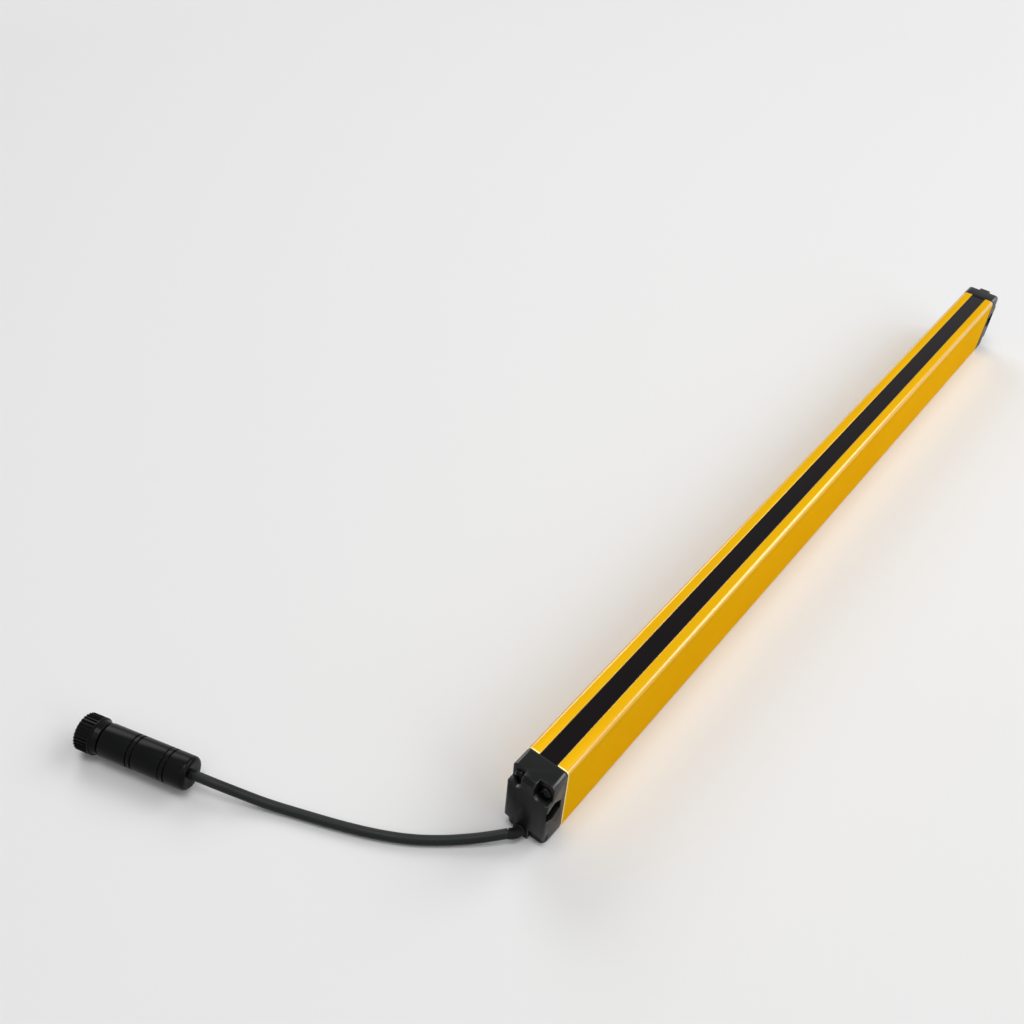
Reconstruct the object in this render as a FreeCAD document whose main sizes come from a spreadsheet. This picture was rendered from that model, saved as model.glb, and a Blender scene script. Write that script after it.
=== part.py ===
import FreeCAD, Part
import math
import os
import re
import Sketcher

# A safety light curtain: one bar of a light curtain pair, with its connecting lead.
# The bar lies on its back with its window up. X runs across it, Y runs along it with the
# lead at the low end, and Z runs from its back up to its window. All lengths are in mm.

doc = FreeCAD.newDocument("safety_light_curtain")
sheet = doc.addObject("Spreadsheet::Sheet", "size")

SIZES = (
    # the extruded housing
    ("bar_width", 28, "width of the housing"),
    ("bar_height", 53, "height of the housing from its back to its window side"),
    ("bar_length", 660, "length of the extrusion"),
    ("corner_radius", 3, "outer corners of the section"),
    ("wall", 1.8, "wall of the section"),
    ("window_gap", 12, "gap between the two lips over the window"),
    ("lip_thickness", 1.8, "thickness of each lip"),
    ("lip_edge", 0.4, "rounded edge of each lip"),
    ("groove_reach", 2.9, "how far the window groove goes under each lip"),
    ("groove_height", 3.0, "height of the window groove"),
    ("ledge_thickness", 1.6, "ledge that carries the window"),
    ("light_slot", 9.8, "slot through the ledge for the beams"),
    ("channel_width", 11.6, "mounting channel in the back, inside"),
    ("channel_mouth", 6.4, "mounting channel, mouth"),
    ("channel_depth", 5.0, "mounting channel, from the back to its floor"),
    ("channel_lip", 1.6, "thickness of the mounting channel's lips"),
    ("rail_reach", 1.3, "how far a board rail stands out of the wall"),
    ("rail_thickness", 1.0, "thickness of a board rail"),
    ("board_gap", 2.0, "gap between two rails"),
    ("control_level", 9.4, "underside of the control board"),
    ("optic_level", 16.6, "underside of the optic board"),
    ("channel_slit", 1.6, "slit along each screw channel"),
    ("boss_wall", 1.35, "wall round each screw channel"),
    ("boss_web", 1.2, "how far the web beside a screw channel reaches below its middle"),
    # the window and its seals
    ("window_flange", 2.2, "thickness of the window's flange"),
    ("window_recess", 0.8, "how far the window lies below the lips"),
    ("window_clearance", 0.3, "side clearance of the window in its groove"),
    ("seal_thickness", 0.5, "seal between the window and each lip"),
    ("seal_recess", 0.4, "how far the seals lie below the lips"),
    # the end caps, with distances from the face that meets the gasket
    ("cap_depth", 15.2, "depth of a cap to its lower corners"),
    ("panel_proud", 2.8, "how far the front panel stands out of the lower corners"),
    ("panel_low", 9.5, "height where the front panel becomes full width"),
    ("tongue_width", 10.4, "width of the panel's lower tongue"),
    ("front_radius", 2.2, "rounding of the panel's upright corners"),
    ("foot_radius", 4.5, "rounding of the upright corners below the panel"),
    ("front_chamfer", 2.3, "bevel along the top of the front panel"),
    ("recess_floor", 12.2, "floor of each screw recess"),
    ("recess_clearance", 0.3, "room round a screw head in its recess"),
    ("nut_flats", 13.2, "nut pocket, across flats"),
    ("nut_depth", 6.8, "nut pocket, depth"),
    ("bolt_hole", 8.4, "bolt hole through the cap"),
    ("bolt_setback", 10.2, "bolt hole, distance from the gasket face"),
    ("bolt_height", 29.4, "bolt hole, height above the back"),
    ("spigot_length", 7, "spigot that enters the housing"),
    ("spigot_wall", 2, "wall of the spigot"),
    ("spigot_clearance", 0.15, "clearance round the spigot"),
    ("spigot_gap", 0.6, "gap from the spigot to the rails and the screw channels"),
    ("chamber_width", 16, "room for the leads in the cap"),
    ("chamber_low", 2.4, "lower face of that room"),
    ("chamber_high", 17.6, "upper face of that room"),
    ("chamber_depth", 12, "depth of that room"),
    ("gasket_thickness", 0.8, "gasket between a cap and the housing"),
    ("gasket_inset", 0.3, "how far the gasket lies inside the outline"),
    # the screws
    ("screw_spacing", 16.8, "between the two screws of a cap"),
    ("screw_drop", 7.9, "from the window side down to the screws"),
    ("screw_diameter", 4.0, "thread of a screw"),
    ("thread_clearance", 0.05, "radial clearance of the thread in its channel"),
    ("screw_passage", 0.25, "radial clearance of the screw in the cap"),
    ("screw_grip", 12, "thread inside the housing"),
    ("head_diameter", 7.4, "screw head"),
    ("head_height", 2.3, "screw head"),
    ("head_crown", 1.0, "height of the sloping part of the head"),
    ("head_flat", 2.5, "radius of the flat on top of the head"),
    ("cross_length", 4.2, "cross recess, end to end"),
    ("cross_width", 1.0, "cross recess, width of an arm"),
    ("cross_depth", 1.3, "cross recess, depth"),
    # the boards and the optics
    ("board_thickness", 1.6, "both boards"),
    ("board_clearance", 0.3, "side clearance of a board"),
    ("board_margin", 9, "from the end of the housing to the boards"),
    ("control_length", 130, "length of the control board"),
    ("chip_height", 2.4, "chips on the control board"),
    ("header_width", 12, "header between the two boards"),
    ("header_depth", 5, "header between the two boards"),
    ("header_margin", 13, "from the end of the control board to the header"),
    ("beam_pitch", 40, "distance between two beams"),
    ("carrier_flange", 1.4, "foot of the lens carrier"),
    ("carrier_clearance", 0.3, "room round the lens carrier"),
    ("carrier_wall", 0.8, "wall of the lens carrier"),
    ("baffle", 1.0, "wall between two beams"),
    ("lens_ledge", 0.6, "ledge that carries the lens strip"),
    ("lens_depth", 4.3, "from the top of the carrier down to the lens strip"),
    ("lens_thickness", 1.6, "lens strip"),
    ("lens_fit", 0.1, "side clearance of the lens strip"),
    ("lens_radius", 3.5, "outline of one lens, to its flat sides"),
    ("lens_height", 1.5, "height of one lens"),
    ("lens_slope", 50, "slope of the sides of a lens, in degrees from upright"),
    ("diode_width", 3.4, "square package of a diode"),
    ("diode_height", 2.2, "height of a diode"),
    ("plug_length", 8, "plug of the inner leads"),
    ("plug_width", 10, "plug of the inner leads"),
    ("plug_height", 4.4, "plug of the inner leads"),
    ("plug_margin", 1, "from the edge of the board to the plug"),
    ("lead_width", 4, "flat bundle of inner leads"),
    ("lead_thickness", 1.6, "flat bundle of inner leads"),
    ("lead_level", 0.24, "share of the way that the inner leads lie level in the cap"),
    ("lead_rise", 0.68, "share of the way where the inner leads have reached their plug"),
    # the lead
    ("cable_diameter", 6.0, "outer diameter of the lead"),
    ("exit_across", -1.5, "where the lead leaves the cap, across the bar"),
    ("exit_height", 4.8, "where the lead leaves the cap, above the back"),
    ("relief_radius", 4.1, "plug and collar of the bend relief"),
    ("relief_collar", 1.2, "collar of the bend relief outside the cap"),
    ("relief_tip", 3.3, "sleeve of the bend relief"),
    ("relief_depth", 6, "bend relief inside the cap"),
    ("relief_fit", 0.05, "radial clearance of the bend relief in the cap"),
    # the connector, with distances from its mating end
    ("connector_length", 74, "whole connector"),
    ("ring_radius", 11.5, "coupling ring"),
    ("ring_length", 14.6, "coupling ring"),
    ("ring_bore", 9.6, "radius of the ring's thread"),
    ("ring_web", 2.8, "inner web of the ring, which runs on the neck"),
    ("ring_collar", 11.2, "radius of the smooth collar behind the flutes"),
    ("ring_edge", 0.8, "bevel at the front of the ring"),
    ("flute_length", 10, "length of the flutes"),
    ("flute_count", 30, "flutes round the ring"),
    ("flute_width", 1.4, "width of one flute"),
    ("flute_depth", 0.6, "depth of one flute"),
    ("ring_play", 0.2, "axial play of the ring"),
    ("ring_gap", 1.0, "gap between the ring and the body"),
    ("running_clearance", 0.08, "radial clearance of the ring on the neck"),
    ("neck_radius", 8.2, "neck that carries the ring"),
    ("body_radius", 10.3, "connector body"),
    ("body_edge", 0.7, "bevel at the front of the body"),
    ("body_bore", 8.6, "radius of the room inside the body"),
    ("body_end", 57, "end of the body"),
    ("neck_depth", 12.4, "length of the narrow bore in the neck"),
    ("mark_place", 36.9, "middle of the first pair of rings"),
    ("mark_spacing", 3.2, "between the two rings of a pair"),
    ("mark_width", 0.8, "width of a turned ring"),
    ("mark_depth", 0.5, "depth of a turned ring"),
    ("nut_gap", 0.5, "visible gap between the body and the clamp nut"),
    ("nut_spigot", 6.6, "part of the clamp nut inside the body"),
    ("nut_rounding", 3.2, "rounded end of the clamp nut"),
    ("bush_radius", 5.6, "rubber bush in the clamp nut"),
    ("bush_neck", 4.1, "rubber bush where the lead enters"),
    ("bush_lip", 3.0, "length of the narrow end of the bush"),
    ("fit", 0.05, "radial clearance between pieces that don't move"),
    ("insert_front", 1.2, "contact insert, from the mating end"),
    ("insert_boss", 7.4, "contact insert, front boss"),
    ("insert_flange", 2.0, "contact insert, flange that holds the ring"),
    ("insert_stem", 6.4, "contact insert, stem"),
    ("insert_rim", 0.4, "room between the flange and the ring's thread"),
    ("insert_end", 22, "contact insert, rear face"),
    ("key_width", 1.6, "polarising key slot"),
    ("key_depth", 1.0, "polarising key slot"),
    ("seal_width", 1.6, "seal ring, along the axis and across"),
    ("contact_count", 8, "contacts"),
    ("contact_circle", 4.4, "radius of the circle of contacts"),
    ("contact_radius", 1.1, "one contact"),
    ("contact_bore", 0.8, "bore of one contact"),
    ("contact_depth", 8, "depth of that bore"),
    ("contact_tail", 2.5, "contact behind the insert"),
    ("block_length", 8, "block that holds the cores behind the contacts"),
    ("core_radius", 2.6, "bundle of cores"),
    ("floor_gap", 0.1, "between the floor and what lies on it"),
)
for row, (name, number, meaning) in enumerate(SIZES, 1):
    sheet.set(f"A{row}", name)
    sheet.set(f"B{row}", str(number))
    sheet.set(f"C{row}", meaning)
    sheet.setAlias(f"B{row}", name)
doc.recompute()

# The route of the lead: across the bar, along it from the cap's front, and height.
# It was chosen by hand from where the lead lies, starting at the tip of the bend relief.
ROUTE = (
    (-4.3, -8.0, 4.8),
    (-10.5, -15.8, 4.0),
    (-19.8, -24.4, 3.1),
    (-31.6, -33.7, 3.1),
    (-45.8, -44.2, 3.1),
    (-62.9, -54.0, 3.1),
    (-82.0, -62.8, 3.1),
    (-103.5, -71.4, 3.1),
    (-123.0, -79.4, 3.7),
    (-138.3, -86.0, 7.2),
    (-151.8, -92.5, 11.6),
    (-165.3, -96.3, 11.6),
)

# The chips, as shares of half the board's width and of the control board's length:
# left, right, near and far sides.
CHIPS = (
    (-0.67, 0.33, 0.12, 0.21),
    (-0.76, -0.25, 0.28, 0.37),
    (0.08, 0.76, 0.26, 0.40),
    (-0.67, 0.50, 0.46, 0.57),
    (-0.50, -0.08, 0.65, 0.71),
    (0.17, 0.76, 0.63, 0.75),
)

# Places that several pieces share, worked out from the sheet.
HALF = "(bar_width / 2)"
INNER = "(bar_width / 2 - wall)"
LIP_UNDER = "(bar_height - lip_thickness)"
GROOVE_FLOOR = "(bar_height - lip_thickness - groove_height)"
GROOVE_HALF = "(window_gap / 2 + groove_reach)"
LEDGE_UNDER = f"({GROOVE_FLOOR} - ledge_thickness)"
CHANNEL_WALL = "(channel_width / 2 + wall)"
CHANNEL_ROOF = "(channel_depth + wall)"
SCREW_X = "(screw_spacing / 2)"
SCREW_Z = "(bar_height - screw_drop)"
SCREW_HOLE = "(screw_diameter / 2 + thread_clearance)"
BOSS = f"({SCREW_HOLE} + boss_wall)"
FLANGE_HALF = f"({GROOVE_HALF} - window_clearance)"
CROWN_HALF = "(window_gap / 2 - seal_thickness)"
FLANGE_TOP = f"({GROOVE_FLOOR} + window_flange)"
CAP_FRONT = "(cap_depth + panel_proud)"
RECESS = "(head_diameter / 2 + recess_clearance)"
SPIGOT_HALF = f"({INNER} - spigot_clearance)"
SPIGOT_LOW = "(optic_level + board_gap + rail_thickness + spigot_gap)"
SPIGOT_HIGH = f"({SCREW_Z} - {BOSS} - spigot_gap)"
BOARD_HALF = f"({INNER} - board_clearance)"
BOARD_LENGTH = "(bar_length - 2 * board_margin)"
BEAMS = f"floor({BOARD_LENGTH} / beam_pitch)"
OPTIC_TOP = "(optic_level + board_thickness)"
CONTROL_TOP = "(control_level + board_thickness)"
CARRIER_TOP = f"({LEDGE_UNDER} - carrier_clearance)"
CARRIER_HALF = f"({SCREW_X} - {BOSS} - carrier_clearance)"
WELL_HALF = f"({CARRIER_HALF} - carrier_wall)"
LENS_SEAT = f"({CARRIER_TOP} - lens_depth)"
LENS_TOP = f"({LENS_SEAT} + lens_thickness)"
CAP_PLACE = "(bar_length / 2 + gasket_thickness)"
WEB_FRONT = "(ring_length - ring_web)"
FLANGE_BACK = f"({WEB_FRONT} - ring_play)"
BODY_FRONT = "(ring_length + ring_gap)"
NUT_FRONT = "(body_end + nut_gap)"
BUSH_STEP = "(connector_length - bush_lip)"
CONTACT_END = "(insert_end + contact_tail)"
RUNNING_BORE = "(neck_radius + running_clearance)"

ALIASES = re.compile(r"\b(" + "|".join(name for name, number, meaning in SIZES) + r")\b")


def formula(text):
    """The expression that binds a property to the sheet."""
    return ALIASES.sub(r"size.\1", str(text))


def value(text):
    """The same expression as a number."""
    return float(sheet.evalExpression(str(text)))


def minus(text):
    return f"(0 - {text})"


def bind(feature, prop, text):
    feature.setExpression(prop, formula(text))


def new_body(label):
    body = doc.addObject("PartDesign::Body", label)
    body.Label = label
    body.AllowCompound = True
    return body


def new_sketch(body, plane, offset="0", shift="0"):
    """A sketch on an origin plane of its body, moved along its normal and along its X."""
    sketch = body.newObject("Sketcher::SketchObject", body.Label + "_sketch")
    origin_plane = next(f for f in body.Origin.OriginFeatures if f.Role == plane)
    sketch.AttachmentSupport = (origin_plane, [""])
    sketch.MapMode = "FlatFace"
    bind(sketch, "AttachmentOffset.Base.z", offset)
    bind(sketch, "AttachmentOffset.Base.x", shift)
    return sketch


def tie(sketch, kind, targets, text):
    """A dimension of the sketch that follows the sheet."""
    number = sketch.addConstraint(Sketcher.Constraint(kind, *targets, value(text)))
    sketch.setExpression(f"Constraints[{number}]", formula(text))


def outline(sketch, corners, arcs=None):
    """A closed outline. arcs maps the number of an edge to its centre and radius."""
    arcs = arcs or {}
    normal = FreeCAD.Vector(0, 0, 1)
    spots = [FreeCAD.Vector(value(across), value(up), 0) for across, up in corners]
    count = len(spots)
    edges = []
    for edge in range(count):
        first = spots[edge]
        last = spots[(edge + 1) % count]
        if edge not in arcs:
            line = sketch.addGeometry(Part.LineSegment(first, last), False)
            edges.append((line, 1, 2))
            continue
        across, up, radius = arcs[edge]
        centre = FreeCAD.Vector(value(across), value(up), 0)
        begin = math.atan2(first.y - centre.y, first.x - centre.x)
        end = math.atan2(last.y - centre.y, last.x - centre.x)
        turns_left = (first - centre).cross(last - centre).z > 0
        circle = Part.Circle(centre, normal, value(radius))
        if turns_left:
            arc = sketch.addGeometry(Part.ArcOfCircle(circle, begin, end), False)
            edges.append((arc, 1, 2))
        else:
            arc = sketch.addGeometry(Part.ArcOfCircle(circle, end, begin), False)
            edges.append((arc, 2, 1))
    for edge, (geometry, start, stop) in enumerate(edges):
        following = edges[(edge + 1) % count]
        sketch.addConstraint(Sketcher.Constraint("Coincident", geometry, stop, following[0], following[1]))
        tie(sketch, "DistanceX", (-1, 1, geometry, start), corners[edge][0])
        tie(sketch, "DistanceY", (-1, 1, geometry, start), corners[edge][1])
    for edge, (across, up, radius) in arcs.items():
        tie(sketch, "Radius", (edges[edge][0],), radius)


def box_outline(sketch, left, right, low, high):
    outline(sketch, [(left, low), (right, low), (right, high), (left, high)])


def rounded_outline(sketch, left, right, low, high, radius):
    """A rectangle with four round corners."""
    inner_left = f"({left} + {radius})"
    inner_right = f"({right} - {radius})"
    inner_low = f"({low} + {radius})"
    inner_high = f"({high} - {radius})"
    corners = [
        (inner_left, low), (inner_right, low), (right, inner_low), (right, inner_high),
        (inner_right, high), (inner_left, high), (left, inner_high), (left, inner_low),
    ]
    arcs = {
        1: (inner_right, inner_low, radius),
        3: (inner_right, inner_high, radius),
        5: (inner_left, inner_high, radius),
        7: (inner_left, inner_low, radius),
    }
    outline(sketch, corners, arcs)


def circle_outline(sketch, across, up, radius):
    centre = FreeCAD.Vector(value(across), value(up), 0)
    circle = sketch.addGeometry(Part.Circle(centre, FreeCAD.Vector(0, 0, 1), value(radius)), False)
    tie(sketch, "DistanceX", (-1, 1, circle, 3), across)
    tie(sketch, "DistanceY", (-1, 1, circle, 3), up)
    tie(sketch, "Radius", (circle,), radius)


def even_outline(sketch, across, up, radius, sides):
    """A regular outline. radius is measured to the middle of a side."""
    half_step = 180 / sides
    reach = f"({radius} / cos({half_step}))"
    corners = []
    for number in range(sides):
        angle = half_step + 2 * half_step * number
        corners.append((f"({across} + {reach} * cos({angle}))", f"({up} + {reach} * sin({angle}))"))
    outline(sketch, corners)


def sound(feature):
    """Stop at once if a feature could not be made."""
    if any(word in feature.State for word in ("Invalid", "Error", "Touched")):
        raise RuntimeError(f"{feature.Name} has the state {feature.State}")


def extruded(body, sketch, kind, length, side, backwards):
    before = body.Shape.Volume if body.Tip else 0
    feature = body.newObject(f"PartDesign::{kind}", f"{body.Label}_{kind.lower()}")
    feature.Profile = sketch
    feature.SideType = side
    feature.Reversed = backwards
    bind(feature, "Length", length)
    doc.recompute()
    change = body.Shape.Volume - before
    if (change > 0) != (kind == "Pad") or abs(change) < 1e-6:
        raise RuntimeError(f"{feature.Name} changed the volume by {change:.3f}")
    return feature


def pad(body, sketch, length, backwards=False):
    return extruded(body, sketch, "Pad", length, "One side", backwards)


def pad_both(body, sketch, length):
    return extruded(body, sketch, "Pad", length, "Symmetric", False)


def pocket(body, sketch, length, backwards=False):
    return extruded(body, sketch, "Pocket", length, "One side", backwards)


def pocket_both(body, sketch, length):
    return extruded(body, sketch, "Pocket", length, "Symmetric", False)


def turned(body, sketch, axis="H_Axis"):
    """A piece turned about an axis of its sketch."""
    feature = body.newObject("PartDesign::Revolution", body.Label + "_turned")
    feature.Profile = sketch
    feature.ReferenceAxis = (sketch, [axis])
    feature.Angle = 360
    doc.recompute()
    sound(feature)
    return feature


def dress(body, kind, size_name, text, chosen):
    """A fillet or chamfer on the edges that the test picks."""
    doc.recompute()
    base = body.Tip
    names = [f"Edge{number}" for number, edge in enumerate(base.Shape.Edges, 1) if chosen(edge)]
    if not names:
        raise RuntimeError(f"no edge found for a {kind} on {body.Label}")
    feature = body.newObject(f"PartDesign::{kind}", f"{body.Label}_{kind.lower()}")
    feature.Base = (base, names)
    bind(feature, size_name, text)
    doc.recompute()
    sound(feature)
    return feature


def row_of(body, feature, axis, length, count):
    """A straight row of copies of a feature."""
    pattern = body.newObject("PartDesign::LinearPattern", body.Label + "_row")
    pattern.Originals = [feature]
    pattern.Direction = (next(f for f in body.Origin.OriginFeatures if f.Role == axis), [""])
    bind(pattern, "Length", length)
    bind(pattern, "Occurrences", count)
    body.Tip = pattern
    doc.recompute()
    sound(pattern)
    return pattern


def ring_of(body, feature, count):
    """A full circle of copies of a feature about the X axis."""
    pattern = body.newObject("PartDesign::PolarPattern", body.Label + "_circle")
    pattern.Originals = [feature]
    pattern.Axis = (next(f for f in body.Origin.OriginFeatures if f.Role == "X_Axis"), [""])
    pattern.Angle = 360
    bind(pattern, "Occurrences", count)
    body.Tip = pattern
    doc.recompute()
    sound(pattern)
    return pattern


def along_y(edge, across, up):
    """True for a straight edge along Y at this place in the section."""
    ends = [vertex.Point for vertex in edge.Vertexes]
    if len(ends) != 2:
        return False
    if any(abs(point.x - across) > 0.01 or abs(point.z - up) > 0.01 for point in ends):
        return False
    return abs(ends[0].y - ends[1].y) > 1


# The housing: one aluminium extrusion, open on top between two lips. It has a groove for
# the window, two screw channels, two pairs of board rails and a mounting channel.

def housing():
    body = new_body("housing_extrusion")
    sketch = new_sketch(body, "XZ_Plane")
    rounded_outline(sketch, minus(HALF), HALF, "0", "bar_height", "corner_radius")
    pad_both(body, sketch, "bar_length")

    sketch = new_sketch(body, "XZ_Plane")
    outline(sketch, [
        (CHANNEL_WALL, "wall"), (INNER, "wall"), (INNER, LEDGE_UNDER), (minus(INNER), LEDGE_UNDER),
        (minus(INNER), "wall"), (minus(CHANNEL_WALL), "wall"), (minus(CHANNEL_WALL), CHANNEL_ROOF),
        (CHANNEL_WALL, CHANNEL_ROOF),
    ])
    pocket_both(body, sketch, "bar_length + 2")

    sketch = new_sketch(body, "XZ_Plane")
    for level in ("control_level", "optic_level"):
        for low in (f"({level} - rail_thickness)", f"({level} + board_gap)"):
            high = f"({low} + rail_thickness)"
            root = f"({INNER} + wall / 2)"
            tip = f"({INNER} - rail_reach)"
            box_outline(sketch, tip, root, low, high)
            box_outline(sketch, minus(root), minus(tip), low, high)
    pad_both(body, sketch, "bar_length")

    sketch = new_sketch(body, "XZ_Plane")
    for across in (SCREW_X, minus(SCREW_X)):
        circle_outline(sketch, across, SCREW_Z, BOSS)
    pad_both(body, sketch, "bar_length")

    sketch = new_sketch(body, "XZ_Plane")
    low = f"({SCREW_Z} - boss_web)"
    root = f"({INNER} + wall / 2)"
    box_outline(sketch, SCREW_X, root, low, LEDGE_UNDER)
    box_outline(sketch, minus(root), minus(SCREW_X), low, LEDGE_UNDER)
    pad_both(body, sketch, "bar_length")

    sketch = new_sketch(body, "XZ_Plane")
    right = [
        ("(light_slot / 2)", LEDGE_UNDER), ("(light_slot / 2)", GROOVE_FLOOR),
        (GROOVE_HALF, GROOVE_FLOOR), (GROOVE_HALF, LIP_UNDER),
        ("(window_gap / 2)", LIP_UNDER), ("(window_gap / 2)", "(bar_height + 1)"),
    ]
    left = [(minus(across), up) for across, up in reversed(right)]
    outline(sketch, right + left)
    pocket_both(body, sketch, "bar_length + 2")

    sketch = new_sketch(body, "XZ_Plane")
    right = [
        ("(channel_mouth / 2)", "-1"), ("(channel_mouth / 2)", "channel_lip"),
        ("(channel_width / 2)", "channel_lip"), ("(channel_width / 2)", "channel_depth"),
    ]
    left = [(minus(across), up) for across, up in reversed(right)]
    outline(sketch, right + left)
    pocket_both(body, sketch, "bar_length + 2")

    sketch = new_sketch(body, "XZ_Plane")
    for across in (SCREW_X, minus(SCREW_X)):
        circle_outline(sketch, across, SCREW_Z, SCREW_HOLE)
    pocket_both(body, sketch, "bar_length + 2")

    sketch = new_sketch(body, "XZ_Plane")
    near = f"({SCREW_X} - {BOSS} - 0.5)"
    low = f"({SCREW_Z} - channel_slit / 2)"
    high = f"({SCREW_Z} + channel_slit / 2)"
    box_outline(sketch, near, SCREW_X, low, high)
    box_outline(sketch, minus(SCREW_X), minus(near), low, high)
    pocket_both(body, sketch, "bar_length + 2")

    lip = value("window_gap / 2")
    top = value("bar_height")
    dress(body, "Fillet", "Radius", "lip_edge",
          lambda edge: along_y(edge, lip, top) or along_y(edge, -lip, top))
    return body


def front_window():
    """A tinted strip with a flange under the lips and a crown between them."""
    body = new_body("front_window")
    sketch = new_sketch(body, "XZ_Plane")
    right = [
        (FLANGE_HALF, GROOVE_FLOOR), (FLANGE_HALF, FLANGE_TOP), (CROWN_HALF, FLANGE_TOP),
        (CROWN_HALF, "(bar_height - window_recess)"),
    ]
    left = [(minus(across), up) for across, up in reversed(right)]
    outline(sketch, right + left)
    pad_both(body, sketch, "bar_length")
    return body


def window_seal(label, side):
    """A rubber strip that is bent over the edge of the window's flange."""
    body = new_body(label)
    sketch = new_sketch(body, "XZ_Plane")
    corners = [
        (CROWN_HALF, FLANGE_TOP), (FLANGE_HALF, FLANGE_TOP), (FLANGE_HALF, LIP_UNDER),
        ("(window_gap / 2)", LIP_UNDER), ("(window_gap / 2)", "(bar_height - seal_recess)"),
        (CROWN_HALF, "(bar_height - seal_recess)"),
    ]
    outline(sketch, corners if side > 0 else [(minus(across), up) for across, up in corners])
    pad_both(body, sketch, "bar_length")
    return body


# The end caps. Each is one moulding with its gasket face at Y = 0 and its front at low Y.

def upright_corner(sketch, side, front, radius):
    """What is cut off one upright front corner, seen from above."""
    near = f"({HALF} - {radius})"
    centre = f"({radius} - {front})"
    corners = [
        (near, f"(0 - {front} - 1)"), (f"({HALF} + 1)", f"(0 - {front} - 1)"),
        (f"({HALF} + 1)", centre), (HALF, centre), (near, minus(front)),
    ]
    if side > 0:
        outline(sketch, corners, {3: (near, centre, radius)})
    else:
        mirrored = [(minus(across), up) for across, up in corners]
        outline(sketch, mirrored, {3: (minus(near), centre, radius)})


def screw_recess(sketch, side):
    """A corner of the front with its inner lower corner rounded about the screw."""
    inner = f"({SCREW_X} - {RECESS})"
    low = f"({SCREW_Z} - {RECESS})"
    outer = f"({HALF} + 1)"
    high = "(bar_height + 1)"
    corners = [(inner, SCREW_Z), (SCREW_X, low), (outer, low), (outer, high), (inner, high)]
    if side > 0:
        outline(sketch, corners, {0: (SCREW_X, SCREW_Z, RECESS)})
    else:
        mirrored = [(minus(across), up) for across, up in corners]
        outline(sketch, mirrored, {0: (minus(SCREW_X), SCREW_Z, RECESS)})


def nut_pocket(sketch):
    """A hexagon with two flats upright, drawn along the bar and up."""
    tip = "(nut_flats / sqrt(3))"
    near = "(0 - bolt_setback - nut_flats / 2)"
    far = "(nut_flats / 2 - bolt_setback)"
    outline(sketch, [
        ("(0 - bolt_setback)", f"(bolt_height + {tip})"), (near, f"(bolt_height + {tip} / 2)"),
        (near, f"(bolt_height - {tip} / 2)"), ("(0 - bolt_setback)", f"(bolt_height - {tip})"),
        (far, f"(bolt_height - {tip} / 2)"), (far, f"(bolt_height + {tip} / 2)"),
    ])


def end_cap(label, has_lead):
    body = new_body(label)
    sketch = new_sketch(body, "XZ_Plane")
    rounded_outline(sketch, minus(HALF), HALF, "0", "bar_height", "corner_radius")
    pad(body, sketch, "cap_depth")
    sketch = new_sketch(body, "XY_Plane", "-1")
    upright_corner(sketch, 1, "cap_depth", "foot_radius")
    upright_corner(sketch, -1, "cap_depth", "foot_radius")
    pocket(body, sketch, "panel_low + 1", backwards=True)

    sketch = new_sketch(body, "XZ_Plane", "cap_depth")
    tongue_left = "(exit_across - tongue_width / 2)"
    tongue_right = "(exit_across + tongue_width / 2)"
    outline(sketch, [
        (tongue_left, "0"), (tongue_right, "0"), (tongue_right, "panel_low"), (HALF, "panel_low"),
        (HALF, "bar_height"), (minus(HALF), "bar_height"), (minus(HALF), "panel_low"),
        (tongue_left, "panel_low"),
    ])
    pad(body, sketch, "panel_proud")
    sketch = new_sketch(body, "XY_Plane", "-1")
    upright_corner(sketch, 1, CAP_FRONT, "front_radius")
    upright_corner(sketch, -1, CAP_FRONT, "front_radius")
    pocket(body, sketch, "bar_height + 2", backwards=True)

    sketch = new_sketch(body, "XZ_Plane", f"{CAP_FRONT} + 1")
    screw_recess(sketch, 1)
    screw_recess(sketch, -1)
    pocket(body, sketch, f"{CAP_FRONT} + 1 - recess_floor")

    front = value(minus(CAP_FRONT))
    top = value("bar_height")
    dress(body, "Chamfer", "Size", "front_chamfer",
          lambda edge: all(abs(v.Y - front) < 0.01 and abs(v.Z - top) < 0.01 for v in edge.Vertexes))

    sketch = new_sketch(body, "XZ_Plane", f"{CAP_FRONT} + 1")
    for across in (SCREW_X, minus(SCREW_X)):
        circle_outline(sketch, across, SCREW_Z, "(screw_diameter / 2 + screw_passage)")
    pocket(body, sketch, f"{CAP_FRONT} + 1")

    for side, offset in ((1, HALF), (-1, minus(HALF))):
        sketch = new_sketch(body, "YZ_Plane", offset)
        nut_pocket(sketch)
        pocket(body, sketch, "nut_depth", backwards=side < 0)
    sketch = new_sketch(body, "YZ_Plane")
    circle_outline(sketch, "(0 - bolt_setback)", "bolt_height", "(bolt_hole / 2)")
    pocket_both(body, sketch, "bar_width")

    sketch = new_sketch(body, "XZ_Plane")
    box_outline(sketch, minus(SPIGOT_HALF), SPIGOT_HALF, SPIGOT_LOW, SPIGOT_HIGH)
    inside = f"({SPIGOT_HALF} - spigot_wall)"
    box_outline(sketch, minus(inside), inside, f"({SPIGOT_LOW} + spigot_wall)",
                f"({SPIGOT_HIGH} - spigot_wall)")
    pad(body, sketch, "spigot_length", backwards=True)

    sketch = new_sketch(body, "XZ_Plane")
    box_outline(sketch, "(0 - chamber_width / 2)", "(chamber_width / 2)", "chamber_low", "chamber_high")
    pocket(body, sketch, "chamber_depth", backwards=True)
    if has_lead:
        sketch = new_sketch(body, "XZ_Plane", f"{CAP_FRONT} + 1")
        circle_outline(sketch, "exit_across", "exit_height", "(relief_radius + relief_fit)")
        pocket(body, sketch, f"{CAP_FRONT} + 2 - chamber_depth")
    return body


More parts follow.
